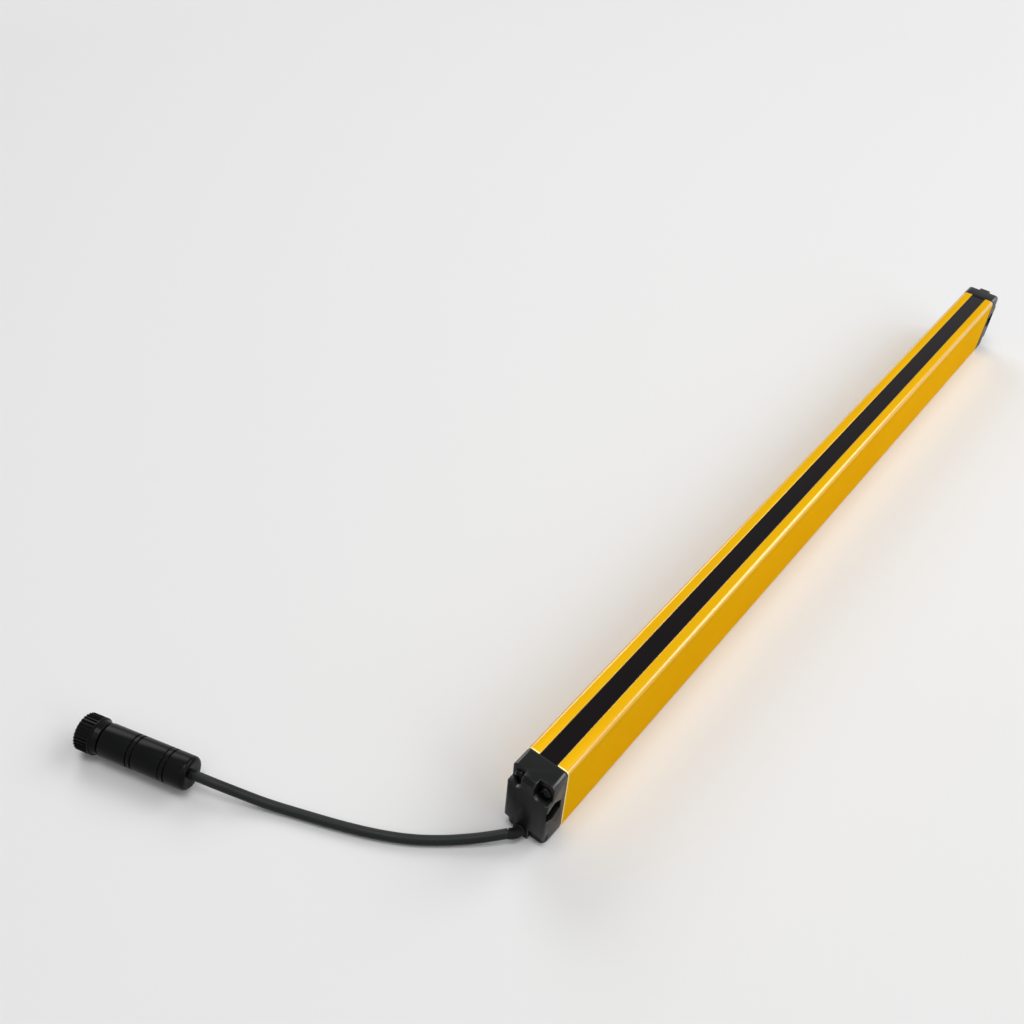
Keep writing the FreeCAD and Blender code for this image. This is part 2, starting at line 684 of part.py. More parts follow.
def end_gasket(label):
    """A flat gasket with the openings of the housing's end."""
    body = new_body(label)
    sketch = new_sketch(body, "XZ_Plane")
    rounded_outline(sketch, f"(gasket_inset - {HALF})", f"({HALF} - gasket_inset)", "gasket_inset",
                    "(bar_height - gasket_inset)", "corner_radius")
    box_outline(sketch, minus(INNER), INNER, CHANNEL_ROOF, f"({SPIGOT_HIGH} + spigot_clearance)")
    for across in (SCREW_X, minus(SCREW_X)):
        circle_outline(sketch, across, SCREW_Z, "(screw_diameter / 2 + screw_passage)")
    pad(body, sketch, "gasket_thickness")
    return body


def cap_screw(label):
    """A pan head screw along Y with the underside of its head at Y = 0."""
    body = new_body(label)
    sketch = new_sketch(body, "XY_Plane")
    length = "(recess_floor + gasket_thickness + screw_grip)"
    head = "(head_diameter / 2)"
    shank = "(screw_diameter / 2)"
    corners = [
        ("0", "(0 - head_height)"), ("head_flat", "(0 - head_height)"),
        (head, "(head_crown - head_height)"), (head, "0"), (shank, "0"), (shank, length), ("0", length),
    ]
    outline(sketch, corners)
    turned(body, sketch, "V_Axis")

    sketch = new_sketch(body, "XZ_Plane", "head_height")
    arm = "(cross_length / 2)"
    side = "(cross_width / 2)"
    quarter = [(side, minus(arm)), (side, minus(side)), (arm, minus(side))]
    cross = []
    for turn in range(4):
        for across, up in quarter:
            for step in range(turn):
                across, up = minus(up), across
            cross.append((across, up))
    outline(sketch, cross)
    pocket(body, sketch, "cross_depth")
    return body


# The boards and the optics inside the housing.

def board(label, level, start, length):
    """A board that lies on its rails, from a distance along the bar."""
    body = new_body(label)
    sketch = new_sketch(body, "XZ_Plane", start)
    box_outline(sketch, minus(BOARD_HALF), BOARD_HALF, level, f"({level} + board_thickness)")
    pad(body, sketch, length, backwards=True)
    return body


def lens_carrier():
    """A black moulding that keeps the beams apart and holds the lens strip."""
    body = new_body("lens_carrier")
    foot = f"({INNER} - rail_reach - carrier_clearance)"
    sketch = new_sketch(body, "XZ_Plane")
    right = [
        (foot, OPTIC_TOP), (foot, f"({OPTIC_TOP} + carrier_flange)"),
        (CARRIER_HALF, f"({OPTIC_TOP} + carrier_flange)"), (CARRIER_HALF, CARRIER_TOP),
    ]
    left = [(minus(across), up) for across, up in reversed(right)]
    outline(sketch, right + left)
    pad_both(body, sketch, BOARD_LENGTH)

    sketch = new_sketch(body, "XZ_Plane")
    box_outline(sketch, minus(WELL_HALF), WELL_HALF, LENS_SEAT, f"({CARRIER_TOP} + 1)")
    pocket_both(body, sketch, f"{BOARD_LENGTH} + 2")

    first = f"(({BEAMS} - 1) * beam_pitch / 2)"
    well = f"({WELL_HALF} - lens_ledge)"
    sketch = new_sketch(body, "XY_Plane", f"{CARRIER_TOP} + 1")
    box_outline(sketch, minus(well), well, f"(0 - {first} - beam_pitch / 2 + baffle / 2)",
                f"(0 - {first} + beam_pitch / 2 - baffle / 2)")
    one_well = pocket(body, sketch, CARRIER_TOP)
    row_of(body, one_well, "Y_Axis", f"({BEAMS} - 1) * beam_pitch", BEAMS)
    return body


def lens_strip():
    """One clear moulding with a lens over each beam."""
    body = new_body("lens_strip")
    half = f"({WELL_HALF} - lens_fit)"
    sketch = new_sketch(body, "XZ_Plane")
    box_outline(sketch, minus(half), half, LENS_SEAT, LENS_TOP)
    pad_both(body, sketch, BOARD_LENGTH)

    first = f"(({BEAMS} - 1) * beam_pitch / 2)"
    short = "(lens_radius * (sqrt(2) - 1))"
    sketch = new_sketch(body, "XY_Plane", LENS_TOP)
    outline(sketch, [(across, f"({along} - {first})") for across, along in (
        ("lens_radius", minus(short)), ("lens_radius", short), (short, "lens_radius"),
        (minus(short), "lens_radius"), (minus("lens_radius"), short), (minus("lens_radius"), minus(short)),
        (minus(short), minus("lens_radius")), (short, minus("lens_radius")),
    )])
    lens = pad(body, sketch, "lens_height")
    bind(lens, "TaperAngle", "0 - lens_slope")
    row_of(body, lens, "Y_Axis", f"({BEAMS} - 1) * beam_pitch", BEAMS)
    return body


def beam_diodes():
    """One square diode on the optic board under each lens."""
    body = new_body("beam_diodes")
    first = f"(({BEAMS} - 1) * beam_pitch / 2)"
    side = "(diode_width / 2)"
    sketch = new_sketch(body, "XY_Plane", OPTIC_TOP)
    box_outline(sketch, minus(side), side, f"(0 - {first} - {side})", f"({side} - {first})")
    diode = pad(body, sketch, "diode_height")
    row_of(body, diode, "Y_Axis", f"({BEAMS} - 1) * beam_pitch", BEAMS)
    return body


def on_board(label, blocks, low, height):
    """Blocks that stand on a board: left, right, near and far distances from its end."""
    body = new_body(label)
    sketch = new_sketch(body, "XY_Plane", low)
    end = "(board_margin - bar_length / 2)"
    for left, right, near, far in blocks:
        box_outline(sketch, left, right, f"({end} + {near})", f"({end} + {far})")
    pad(body, sketch, height)
    return body


def tangent_path(points):
    """Straight runs joined by arcs as large as their two runs allow."""
    edges = []
    radii = []
    start = points[0]
    for before, here, after in zip(points, points[1:], points[2:]):
        back = before - here
        ahead = after - here
        setback = 0.45 * min(back.Length, ahead.Length)
        back.normalize()
        ahead.normalize()
        turn = math.pi - back.getAngle(ahead)
        radius = setback / math.tan(turn / 2)
        middle = back + ahead
        middle.normalize()
        enter = here + back * setback
        leave = here + ahead * setback
        crest = here + middle * (radius / math.cos(turn / 2) - radius)
        edges.append(Part.LineSegment(start, enter).toShape())
        edges.append(Part.Arc(enter, crest, leave).toShape())
        radii.append(radius)
        start = leave
    edges.append(Part.LineSegment(start, points[-1]).toShape())
    return Part.Wire(edges), radii


def sixteen_sides(centre, way, radius):
    """A regular outline square to a direction. It keeps the lead and its bend relief light."""
    across = way.cross(FreeCAD.Vector(0, 0, 1)).normalize() * (radius / math.cos(math.pi / 16))
    turns = [FreeCAD.Rotation(way, 360 * (number + 0.5) / 16) for number in range(16)]
    corners = [centre + turn.multVec(across) for turn in turns]
    return Part.makePolygon(corners + corners[:1])


def tube(label, points, radius):
    """A tube along a tangent path, compared with its section times its length."""
    path, radii = tangent_path(points)
    section = sixteen_sides(points[0], (points[1] - points[0]).normalize(), radius)
    shape = path.makePipeShell([section], True, False)
    expected = Part.Face(section).Area * path.Length
    print(f"{label}: length {path.Length:.1f}, volume {shape.Volume:.0f} of {expected:.0f}, "
          f"radii {' '.join(f'{r:.0f}' for r in radii)}")
    if abs(shape.Volume / expected - 1) > 0.01:
        raise RuntimeError(f"{label} has the wrong volume")
    feature = doc.addObject("Part::Feature", label)
    feature.Label = label
    feature.Shape = shape
    return feature


def exit_point(along, up=None):
    """A point on the lead's line inside the cap, by its distance from the gasket face."""
    height = value("exit_height") if up is None else up
    return FreeCAD.Vector(value("exit_across"), along - value(CAP_PLACE), height)


def inner_leads():
    """The cores of the lead, flat side by side, from the bend relief up to the plug."""
    body = new_body("inner_leads")
    start = f"(relief_depth - {CAP_FRONT} - {CAP_PLACE})"
    end = "(board_margin + plug_margin - bar_length / 2)"
    level = f"({start} + lead_level * ({end} - {start}))"
    rise = f"({start} + lead_rise * ({end} - {start}))"
    plug = f"({CONTROL_TOP} + plug_height / 2)"
    middle = [(start, "exit_height"), (level, "exit_height"), (rise, plug), (end, plug)]
    under = [(along, f"({up} - lead_thickness / 2)") for along, up in middle]
    over = [(along, f"({up} + lead_thickness / 2)") for along, up in reversed(middle)]
    sketch = new_sketch(body, "YZ_Plane", "exit_across")
    outline(sketch, under + over)
    pad_both(body, sketch, "lead_width")
    return body


def cable_relief():
    """The rubber bend relief: a plug in the cap, a collar on its face and a bent sleeve."""
    front = value(minus(CAP_FRONT))
    inside = exit_point(front + value("relief_depth"))
    face = exit_point(front)
    tip = front_point(ROUTE[0])
    forward = FreeCAD.Vector(0, -1, 0)
    out = front_point(ROUTE[1]) - tip
    out.normalize()
    # the sleeve's line: straight out, one run at half the bend, and on in the lead's direction
    half_way = (forward + out).normalize()
    bend = forward.getAngle(out)
    radius = (tip - face).Length / (2 * math.sin(bend / 2))
    run = radius * math.tan(bend / 4)
    last = tip - out * run
    first = last - half_way * (2 * run)
    core = Part.makeCylinder(value("relief_radius"), value("relief_depth + relief_collar"), inside, forward)
    start = exit_point(front + 1)
    line = Part.makePolygon([start, first, last, tip])
    root = sixteen_sides(start, (first - start).normalize(), value("relief_tip"))
    sleeve = line.makePipeShell([root], True, False, 1)
    feature = doc.addObject("Part::Feature", "cable_relief")
    feature.Label = "cable_relief"
    feature.Shape = core.fuse(sleeve).removeSplitter()
    print(f"cable_relief: bend radius {radius:.1f}, bend {math.degrees(bend):.0f} degrees, "
          f"first corner off the axis by {(first - face).cross(forward).Length:.2f}")
    return feature


def front_point(spot):
    """A point of the route, which is measured from the front of the cap."""
    across, along, up = spot
    return FreeCAD.Vector(across, along - value(CAP_PLACE) - value(CAP_FRONT), up)


# The connector. Each piece is turned about X with the mating end at X = 0.

def connector_body():
    body = new_body("connector_body")
    sketch = new_sketch(body, "XY_Plane")
    outline(sketch, [
        (FLANGE_BACK, f"(insert_stem + fit)"), (FLANGE_BACK, "neck_radius"), (BODY_FRONT, "neck_radius"),
        (BODY_FRONT, "(body_radius - body_edge)"), (f"({BODY_FRONT} + body_edge)", "body_radius"),
        ("body_end", "body_radius"), ("body_end", "body_bore"),
        (f"({FLANGE_BACK} + neck_depth)", "body_bore"), (f"({FLANGE_BACK} + neck_depth)", "(insert_stem + fit)"),
    ])
    turned(body, sketch)
    turned_rings(body, ("(mark_place - mark_spacing / 2)", "(mark_place + mark_spacing / 2)"))
    return body


def turned_rings(body, places):
    """Shallow rings cut round the outside."""
    before = body.Shape.Volume
    sketch = new_sketch(body, "XY_Plane")
    for place in places:
        box_outline(sketch, f"({place} - mark_width / 2)", f"({place} + mark_width / 2)",
                    "(body_radius - mark_depth)", "(body_radius + 1)")
    groove = body.newObject("PartDesign::Groove", body.Label + "_rings")
    groove.Profile = sketch
    groove.ReferenceAxis = (sketch, ["H_Axis"])
    groove.Angle = 360
    doc.recompute()
    if body.Shape.Volume >= before:
        raise RuntimeError(f"the rings of {body.Label} cut nothing")


def clamp_nut():
    body = new_body("clamp_nut")
    front = f"({NUT_FRONT} - nut_gap - nut_spigot)"
    spigot = "(body_bore - fit)"
    bore = "(bush_radius + fit)"
    mouth = "(bush_neck + fit)"
    rounded = [(f"(connector_length - nut_rounding * (1 - sin({angle})))",
                f"(body_radius - nut_rounding * (1 - cos({angle})))") for angle in (0, 45, 90)]
    sketch = new_sketch(body, "XY_Plane")
    outline(sketch, [
        (front, bore), (front, spigot), (NUT_FRONT, spigot), (NUT_FRONT, "body_radius"), *rounded,
        ("connector_length", mouth), (BUSH_STEP, mouth), (BUSH_STEP, bore),
    ])
    turned(body, sketch)
    turned_rings(body, (f"({NUT_FRONT} + mark_spacing)",))
    return body


def cable_bush():
    body = new_body("cable_bush")
    front = f"({NUT_FRONT} - nut_gap - nut_spigot)"
    sketch = new_sketch(body, "XY_Plane")
    outline(sketch, [
        (front, "0"), (front, "bush_radius"), (BUSH_STEP, "bush_radius"), (BUSH_STEP, "bush_neck"),
        ("connector_length", "bush_neck"), ("connector_length", "0"),
    ])
    turned(body, sketch)
    return body


def core_leads():
    """The cores inside the connector: a block behind the contacts and a bundle to the bush."""
    body = new_body("core_leads")
    sketch = new_sketch(body, "YZ_Plane", CONTACT_END)
    even_outline(sketch, "0", "0", "contact_circle", 6)
    pad(body, sketch, "block_length")
    sketch = new_sketch(body, "YZ_Plane", f"{CONTACT_END} + block_length")
    even_outline(sketch, "0", "0", "core_radius", 6)
    pad(body, sketch, f"{NUT_FRONT} - nut_gap - nut_spigot - {CONTACT_END} - block_length")
    return body


def coupling_ring():
    """The ring that a hand turns: fluted in front, smooth behind, with an inner web."""
    body = new_body("coupling_ring")
    sketch = new_sketch(body, "XY_Plane")
    outline(sketch, [
        ("0", "ring_bore"), ("0", "(ring_radius - ring_edge)"), ("ring_edge", "ring_radius"),
        ("flute_length", "ring_radius"), ("flute_length", "ring_collar"), ("ring_length", "ring_collar"),
        ("ring_length", RUNNING_BORE), (WEB_FRONT, RUNNING_BORE), (WEB_FRONT, "ring_bore"),
    ])
    turned(body, sketch)
    sketch = new_sketch(body, "YZ_Plane", "flute_length - flute_depth")
    outline(sketch, [
        ("(0 - flute_width / 4)", "(ring_radius - flute_depth)"), ("(flute_width / 4)", "(ring_radius - flute_depth)"),
        ("(flute_width / 2)", "ring_radius"), ("(flute_width / 2)", "(ring_radius + 1)"),
        ("(0 - flute_width / 2)", "(ring_radius + 1)"), ("(0 - flute_width / 2)", "ring_radius"),
    ])
    flute = pocket(body, sketch, "flute_length")
    ring_of(body, flute, "flute_count")
    return body


def contact_insert():
    """The insulator with a hole for each contact and a key slot in its front boss."""
    body = new_body("contact_insert")
    sketch = new_sketch(body, "XY_Plane")
    flange = "(ring_bore - insert_rim)"
    flange_front = f"({FLANGE_BACK} - insert_flange)"
    outline(sketch, [
        ("insert_front", "0"), ("insert_front", "insert_boss"), (flange_front, "insert_boss"),
        (flange_front, flange), (FLANGE_BACK, flange), (FLANGE_BACK, "insert_stem"),
        ("insert_end", "insert_stem"), ("insert_end", "0"),
    ])
    turned(body, sketch)
    sketch = new_sketch(body, "YZ_Plane", "insert_front")
    box_outline(sketch, "(0 - key_width / 2)", "(key_width / 2)", "(insert_boss - key_depth)",
                "(insert_boss + 1)")
    pocket(body, sketch, f"{flange_front} - insert_front", backwards=True)
    sketch = new_sketch(body, "YZ_Plane", "insert_front")
    even_outline(sketch, "0", "contact_circle", "(contact_radius + fit)", 8)
    hole = pocket(body, sketch, "insert_end", backwards=True)
    ring_of(body, hole, "contact_count")
    return body


def contact_sockets():
    """The contacts, which are identical tubes with eight sides, closed at their rear end."""
    body = new_body("contact_sockets")
    sketch = new_sketch(body, "YZ_Plane", "insert_front + mark_depth")
    even_outline(sketch, "0", "contact_circle", "contact_radius", 8)
    contact = pad(body, sketch, f"{CONTACT_END} - insert_front - mark_depth")
    sketch = new_sketch(body, "YZ_Plane", "insert_front + mark_depth")
    even_outline(sketch, "0", "contact_circle", "contact_bore", 8)
    bore = pocket(body, sketch, "contact_depth", backwards=True)
    pattern = ring_of(body, contact, "contact_count")
    pattern.Originals = [contact, bore]
    doc.recompute()
    return body


def insert_seal():
    """The rubber ring that lies against the flange of the insert."""
    body = new_body("insert_seal")
    flange_front = f"({FLANGE_BACK} - insert_flange)"
    sketch = new_sketch(body, "XY_Plane")
    box_outline(sketch, f"({flange_front} - seal_width)", flange_front, "(insert_boss + fit)",
                "(insert_boss + fit + seal_width)")
    turned(body, sketch)
    return body


# Putting the pieces in their places.

def place(body, across, along, up, turn=0):
    spin = FreeCAD.Rotation(FreeCAD.Vector(0, 0, 1), turn)
    body.Placement = FreeCAD.Placement(FreeCAD.Vector(across, along, up), spin)
    return body


def build_bar():
    pieces = [housing(), front_window(), window_seal("window_seal_left", -1), window_seal("window_seal_right", 1)]
    ends = (("cable_end", -1, 0, True), ("far_end", 1, 180, False))
    for name, side, turn, has_lead in ends:
        pieces.append(place(end_cap(name + "_cap", has_lead), 0, side * value(CAP_PLACE), 0, turn))
        pieces.append(place(end_gasket(name + "_gasket"), 0, side * value("bar_length / 2"), 0, turn))
        seat = side * (value(CAP_PLACE) + value("recess_floor"))
        for hand, across in (("left", -1), ("right", 1)):
            screw = cap_screw(f"{name}_screw_{hand}")
            pieces.append(place(screw, across * value(SCREW_X), seat, value(SCREW_Z), turn))
    pieces.append(board("optic_board", "optic_level", "(bar_length / 2 - board_margin)", BOARD_LENGTH))
    pieces.append(board("control_board", "control_level", "(bar_length / 2 - board_margin)", "control_length"))
    pieces += [lens_carrier(), lens_strip(), beam_diodes()]
    chips = [(f"({left} * {BOARD_HALF})", f"({right} * {BOARD_HALF})", f"({near} * control_length)",
              f"({far} * control_length)") for left, right, near, far in CHIPS]
    pieces.append(on_board("control_chips", chips, CONTROL_TOP, "chip_height"))
    header = (minus("header_width / 2"), "(header_width / 2)", "(control_length - header_margin - header_depth)",
              "(control_length - header_margin)")
    pieces.append(on_board("link_header", (header,), CONTROL_TOP, f"optic_level - {CONTROL_TOP}"))
    plug = ("(exit_across - plug_width / 2)", "(exit_across + plug_width / 2)", "plug_margin",
            "(plug_margin + plug_length)")
    pieces.append(on_board("lead_plug", (plug,), CONTROL_TOP, "plug_height"))
    return pieces


def build_lead():
    points = [front_point(spot) for spot in ROUTE]
    return [inner_leads(), cable_relief(), tube("cable", points, value("cable_diameter / 2"))]


def build_connector():
    tail = front_point(ROUTE[-1])
    before = front_point(ROUTE[-2])
    way = before - tail
    yaw = math.degrees(math.atan2(way.y, way.x))
    way.normalize()
    mating_end = tail - way * value("connector_length")
    makers = (connector_body, clamp_nut, cable_bush, core_leads, coupling_ring, contact_insert,
              contact_sockets, insert_seal)
    pieces = [place(make(), mating_end.x, mating_end.y, mating_end.z, yaw) for make in makers]
    print(f"connector: mating end {mating_end}, yaw {yaw:.3f} degrees, ring gap to the floor "
          f"{mating_end.z - value('ring_radius'):.2f}")
    return pieces


def check(pieces):
    """Every feature is sound and every piece is a valid solid."""
    doc.recompute()
    for item in doc.Objects:
        if "Invalid" in item.State or "Error" in item.State:
            raise RuntimeError(f"{item.Name} has the state {item.State}")
    for piece in pieces:
        if piece.Shape.isNull() or not piece.Shape.isValid() or not piece.Shape.Solids:
            raise RuntimeError(f"{piece.Label} is not a valid solid")


def write(pieces):
    os.makedirs("parts", exist_ok=True)
    for piece in pieces:
        piece.Shape.exportStep(f"parts/{piece.Label}.step")
        box = piece.Shape.BoundBox
        print(f"{piece.Label}: solids {len(piece.Shape.Solids)}, faces {len(piece.Shape.Faces)}, "
              f"{piece.Shape.Volume:.0f} mm3, X {box.XMin:.2f} {box.XMax:.2f}, "
              f"Y {box.YMin:.2f} {box.YMax:.2f}, Z {box.ZMin:.2f} {box.ZMax:.2f}")


pieces = build_bar() + build_lead() + build_connector()
check(pieces)
write(pieces)
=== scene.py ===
# %% [markdown]
# A safety light curtain, dressed for the camera
#
# A light curtain guards a machine with a row of infrared beams between two bars. This is one
# bar: a yellow aluminium extrusion with a dark window along its front, a black moulded cap at
# each end, and a short lead that ends in a round connector with a fluted coupling ring.
#
# The exact solids are already there as a fixed frame. This script gives them their looks, and
# puts smoother pieces where the solids are too plain. The scene is in metres. Small sizes are
# written in millimetres, as on a drawing, and multiplied by MM where they are used.

# %% Load the frame
import math

import bmesh
import bpy
from mathutils import Matrix, Vector


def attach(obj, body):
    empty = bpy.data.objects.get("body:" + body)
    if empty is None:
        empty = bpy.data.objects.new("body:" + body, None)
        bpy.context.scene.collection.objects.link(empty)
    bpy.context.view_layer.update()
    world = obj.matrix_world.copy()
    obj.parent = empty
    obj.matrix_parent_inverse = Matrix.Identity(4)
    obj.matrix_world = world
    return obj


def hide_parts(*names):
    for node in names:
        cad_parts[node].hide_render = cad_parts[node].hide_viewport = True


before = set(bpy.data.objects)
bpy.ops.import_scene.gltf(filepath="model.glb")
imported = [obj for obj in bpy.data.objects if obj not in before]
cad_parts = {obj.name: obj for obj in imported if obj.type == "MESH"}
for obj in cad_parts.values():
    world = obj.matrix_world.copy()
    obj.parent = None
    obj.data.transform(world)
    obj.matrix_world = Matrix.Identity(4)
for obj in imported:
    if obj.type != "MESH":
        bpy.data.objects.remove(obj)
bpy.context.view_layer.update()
MM = 0.001
WELD = 0.002 * MM  # points closer than this are one point
BAR = "curtain"
RING = "coupling_ring"
scene = bpy.context.scene

# %% [markdown]
# ## The camera
#
# The camera stands in front of the lead's end, to the right of the bar, and looks down on it.
# Its place and its field of view were found from the bar's own edges: parallel edges meet at
# a vanishing point, and the known width of the bar gives the distance.

# %% Camera
AZIMUTH, ELEVATION, ROLL = (math.radians(angle) for angle in (34.87, 42.03, 4.52))
FOCAL_PIXELS, IMAGE_PIXELS = 1115, 1024
CAMERA_PLACE = (0.1834, -0.6468, 0.5620)

ahead = -Vector((math.sin(AZIMUTH) * math.cos(ELEVATION), -math.cos(AZIMUTH) * math.cos(ELEVATION),
                 math.sin(ELEVATION)))
right = ahead.cross(Vector((0, 0, 1))).normalized()
down = ahead.cross(right)
right, down = (right * math.cos(ROLL) - down * math.sin(ROLL),
               right * math.sin(ROLL) + down * math.cos(ROLL))

camera_data = bpy.data.cameras.new("camera")
camera_data.sensor_width = 36
camera_data.lens = FOCAL_PIXELS / IMAGE_PIXELS * camera_data.sensor_width
camera_data.clip_start, camera_data.clip_end = 0.02, 50
camera = bpy.data.objects.new("camera", camera_data)
turn = Matrix((right, -down, -ahead)).transposed().to_4x4()
camera.matrix_world = Matrix.Translation(CAMERA_PLACE) @ turn
scene.collection.objects.link(camera)
scene.camera = camera
print("lens:", round(camera_data.lens, 2), "mm")

# %% [markdown]
# ## Small helpers for nodes and colours
#
# Colours are written as on a paint chart, in sRGB, and turned to the linear values that the
# renderer works with. One helper adds a node, sets it and links it, for materials and for
# geometry alike.

# %% Helpers
def colour(code):
    """An sRGB hex colour as linear RGBA."""
    parts = [int(code[i:i + 2], 16) / 255 for i in (1, 3, 5)]
    return (*(p / 12.92 if p <= 0.04045 else ((p + 0.055) / 1.055) ** 2.4 for p in parts), 1)


def add(tree, kind, inputs=(), **settings):
    """Adds a node. inputs maps a socket's name or number to a value or to another socket."""
    made = tree.nodes.new(kind)
    for name, setting in settings.items():
        setattr(made, name, setting)
    for key, what in dict(inputs).items():
        if isinstance(what, bpy.types.NodeSocket):
            tree.links.new(what, made.inputs[key])
        else:
            made.inputs[key].default_value = what
    return made


def per_metre(size_mm):
    """The scale that gives a pattern with features of this size."""
    return 1 / (size_mm * MM)


def new_material(name):
    """An empty material, its node tree, and the Object coordinates that its patterns read."""
    made = bpy.data.materials.new(name)
    made.use_nodes = True
    tree = made.node_tree
    tree.nodes.clear()
    return made, tree, add(tree, "ShaderNodeTexCoord").outputs["Object"]


def rubbed_corners(tree):
    """1 where the surface leans both sideways and up, as on a rounded corner, and 0 on flat sides."""
    facing = add(tree, "ShaderNodeSeparateXYZ", {0: add(tree, "ShaderNodeTexCoord").outputs["Normal"]})
    lean = [add(tree, "ShaderNodeMath", {0: facing.outputs[side]}, operation="ABSOLUTE").outputs[0]
            for side in ("X", "Z")]
    least = add(tree, "ShaderNodeMath", {0: lean[0], 1: lean[1]}, operation="MINIMUM").outputs[0]
    return add(tree, "ShaderNodeMapRange", {"Value": least, "From Min": 0.1, "From Max": 0.4}).outputs[0]


print("signal yellow as linear light:", [round(part, 3) for part in colour("#EEB814")])

# %% [markdown]
# ## Moulded plastics and rubbers
#
# Most black pieces here are injection mouldings: glass-filled nylon for the caps, PBT for the
# connector, rubber for the seals. What the eye sees is a soft highlight that a fine spark-eroded
# texture breaks up, a slow drift in gloss where the melt flowed, and hardly any colour.

# %% A moulded finish
def moulded(name, base, lighter, grain_mm, depth_mm, gloss, shine=0.3, rubbed=False, drift_mm=18):
    """A moulded plastic or rubber, with a glossier skin on its rounded corners where rubbed is set.

    grain_mm and depth_mm size its texture, drift_mm the slow change in its gloss. gloss holds the
    lowest and highest roughness, and shine is the specular level.
    """
    made, tree, place = new_material(name)
    drift = add(tree, "ShaderNodeTexNoise", {"Vector": place, "Scale": per_metre(drift_mm), "Detail": 3})
    grain = add(tree, "ShaderNodeTexNoise", {"Vector": place, "Scale": per_metre(grain_mm), "Detail": 4,
                                             "Roughness": 0.6})
    tint = add(tree, "ShaderNodeMix", {0: drift.outputs["Fac"], 6: colour(base), 7: colour(lighter)},
               data_type="RGBA")
    rough = add(tree, "ShaderNodeMapRange", {
        "Value": drift.outputs["Fac"], "From Min": 0.3, "From Max": 0.7, "To Min": gloss[0],
        "To Max": gloss[1]})
    bump = add(tree, "ShaderNodeBump", {"Height": grain.outputs["Fac"], "Distance": depth_mm * MM,
                                        "Strength": 0.6})
    shader = add(tree, "ShaderNodeBsdfPrincipled", {
        "Base Color": tint.outputs[2], "Roughness": rough.outputs[0], "IOR": 1.5,
        "Specular IOR Level": shine, "Normal": bump.outputs[0],
        "Coat Weight": rubbed_corners(tree) if rubbed else 0.0, "Coat Roughness": 0.2})
    add(tree, "ShaderNodeOutputMaterial", {"Surface": shader.outputs[0]})
    return made


# the caps: charcoal, with a silky highlight on the rounded edges
cap_nylon = moulded("glass_filled_nylon_moulded", "#090A0B", "#0D0E0F", 0.5, 0.02, (0.3, 0.4), 0.15, True)
# the connector: nearly black and smoother, with a clear streak along its top
connector_pbt = moulded("pbt_moulded_satin", "#040505", "#070808", 0.7, 0.012, (0.2, 0.27), 0.09)
# the mating face: dull dark grey, so the gold contacts stand out
insert_pbt = moulded("pbt_moulded_matte", "#161718", "#1D1E1F", 0.4, 0.02, (0.5, 0.6))
# seals and gaskets: flat black lines between the pieces
seal_rubber = moulded("epdm_rubber_extruded", "#0B0B0C", "#101011", 0.8, 0.02, (0.6, 0.75))
# the bend relief: dark and softer in its sheen than the cap
relief_rubber = moulded("tpe_rubber_moulded", "#0D0E0F", "#121314", 0.6, 0.02, (0.4, 0.5), 0.15)
# carriers and chips inside: plain dark grey
inner_abs = moulded("abs_moulded_black", "#1B1C1D", "#242526", 0.4, 0.02, (0.5, 0.62))
# the plug inside: milky off-white
plug_nylon = moulded("nylon_natural_moulded", "#D8D2BE", "#E2DCC8", 0.5, 0.01, (0.4, 0.5))
print("moulded finishes:", len(bpy.data.materials))

# %% [markdown]
# ## The housing's yellow coat
#
# The extrusion is coated in signal yellow. The eye sees an even, warm yellow with a silky sheen,
# fine lines that the die left along the bar, and a pale streak on each rounded corner. The coat
# is thin, so a fifth of the metal shows through it, with a yellow edge tint. White gloss is kept
# to the corners, which hands rub smooth: on the flat sides, seen at a low angle, it would mirror
# the floor and bleach the yellow. Paint with gloss all over was the other way. The lines are
# stretched a hundredfold along the bar and drawn coarser than the real 0.1 mm, to show at all.

# %% Yellow coated aluminium
def coated_aluminium():
    made, tree, place = new_material("aluminium_extruded_yellow_coat")
    along = add(tree, "ShaderNodeMapping", {"Vector": place, "Scale": (1, 0.01, 1)})
    lines = add(tree, "ShaderNodeTexNoise", {
        "Vector": along.outputs[0], "Scale": per_metre(0.6), "Detail": 5, "Roughness": 0.7})
    cloud = add(tree, "ShaderNodeTexNoise", {"Vector": place, "Scale": per_metre(60), "Detail": 2})
    peel = add(tree, "ShaderNodeTexNoise", {"Vector": place, "Scale": per_metre(0.9), "Detail": 2})
    tint = add(tree, "ShaderNodeMix", {0: cloud.outputs["Fac"], 6: colour("#EEB814"), 7: colour("#E6AE10")},
               data_type="RGBA")
    rough = add(tree, "ShaderNodeMapRange", {
        "Value": lines.outputs["Fac"], "From Min": 0.3, "From Max": 0.7, "To Min": 0.34, "To Max": 0.46})
    first = add(tree, "ShaderNodeBump", {
        "Height": lines.outputs["Fac"], "Distance": 0.012 * MM, "Strength": 0.5})
    second = add(tree, "ShaderNodeBump", {
        "Height": peel.outputs["Fac"], "Distance": 0.004 * MM, "Strength": 0.5, "Normal": first.outputs[0]})
    shader = add(tree, "ShaderNodeBsdfPrincipled", {
        "Base Color": tint.outputs[2], "Roughness": rough.outputs[0], "Metallic": 0.22,
        "Specular IOR Level": 0.0, "Specular Tint": colour("#FFC400"), "Normal": second.outputs[0],
        "Coat Weight": rubbed_corners(tree), "Coat Roughness": 0.1, "Coat IOR": 1.85})
    add(tree, "ShaderNodeOutputMaterial", {"Surface": shader.outputs[0]})
    return made


yellow_coat = coated_aluminium()
print("made:", yellow_coat.name)

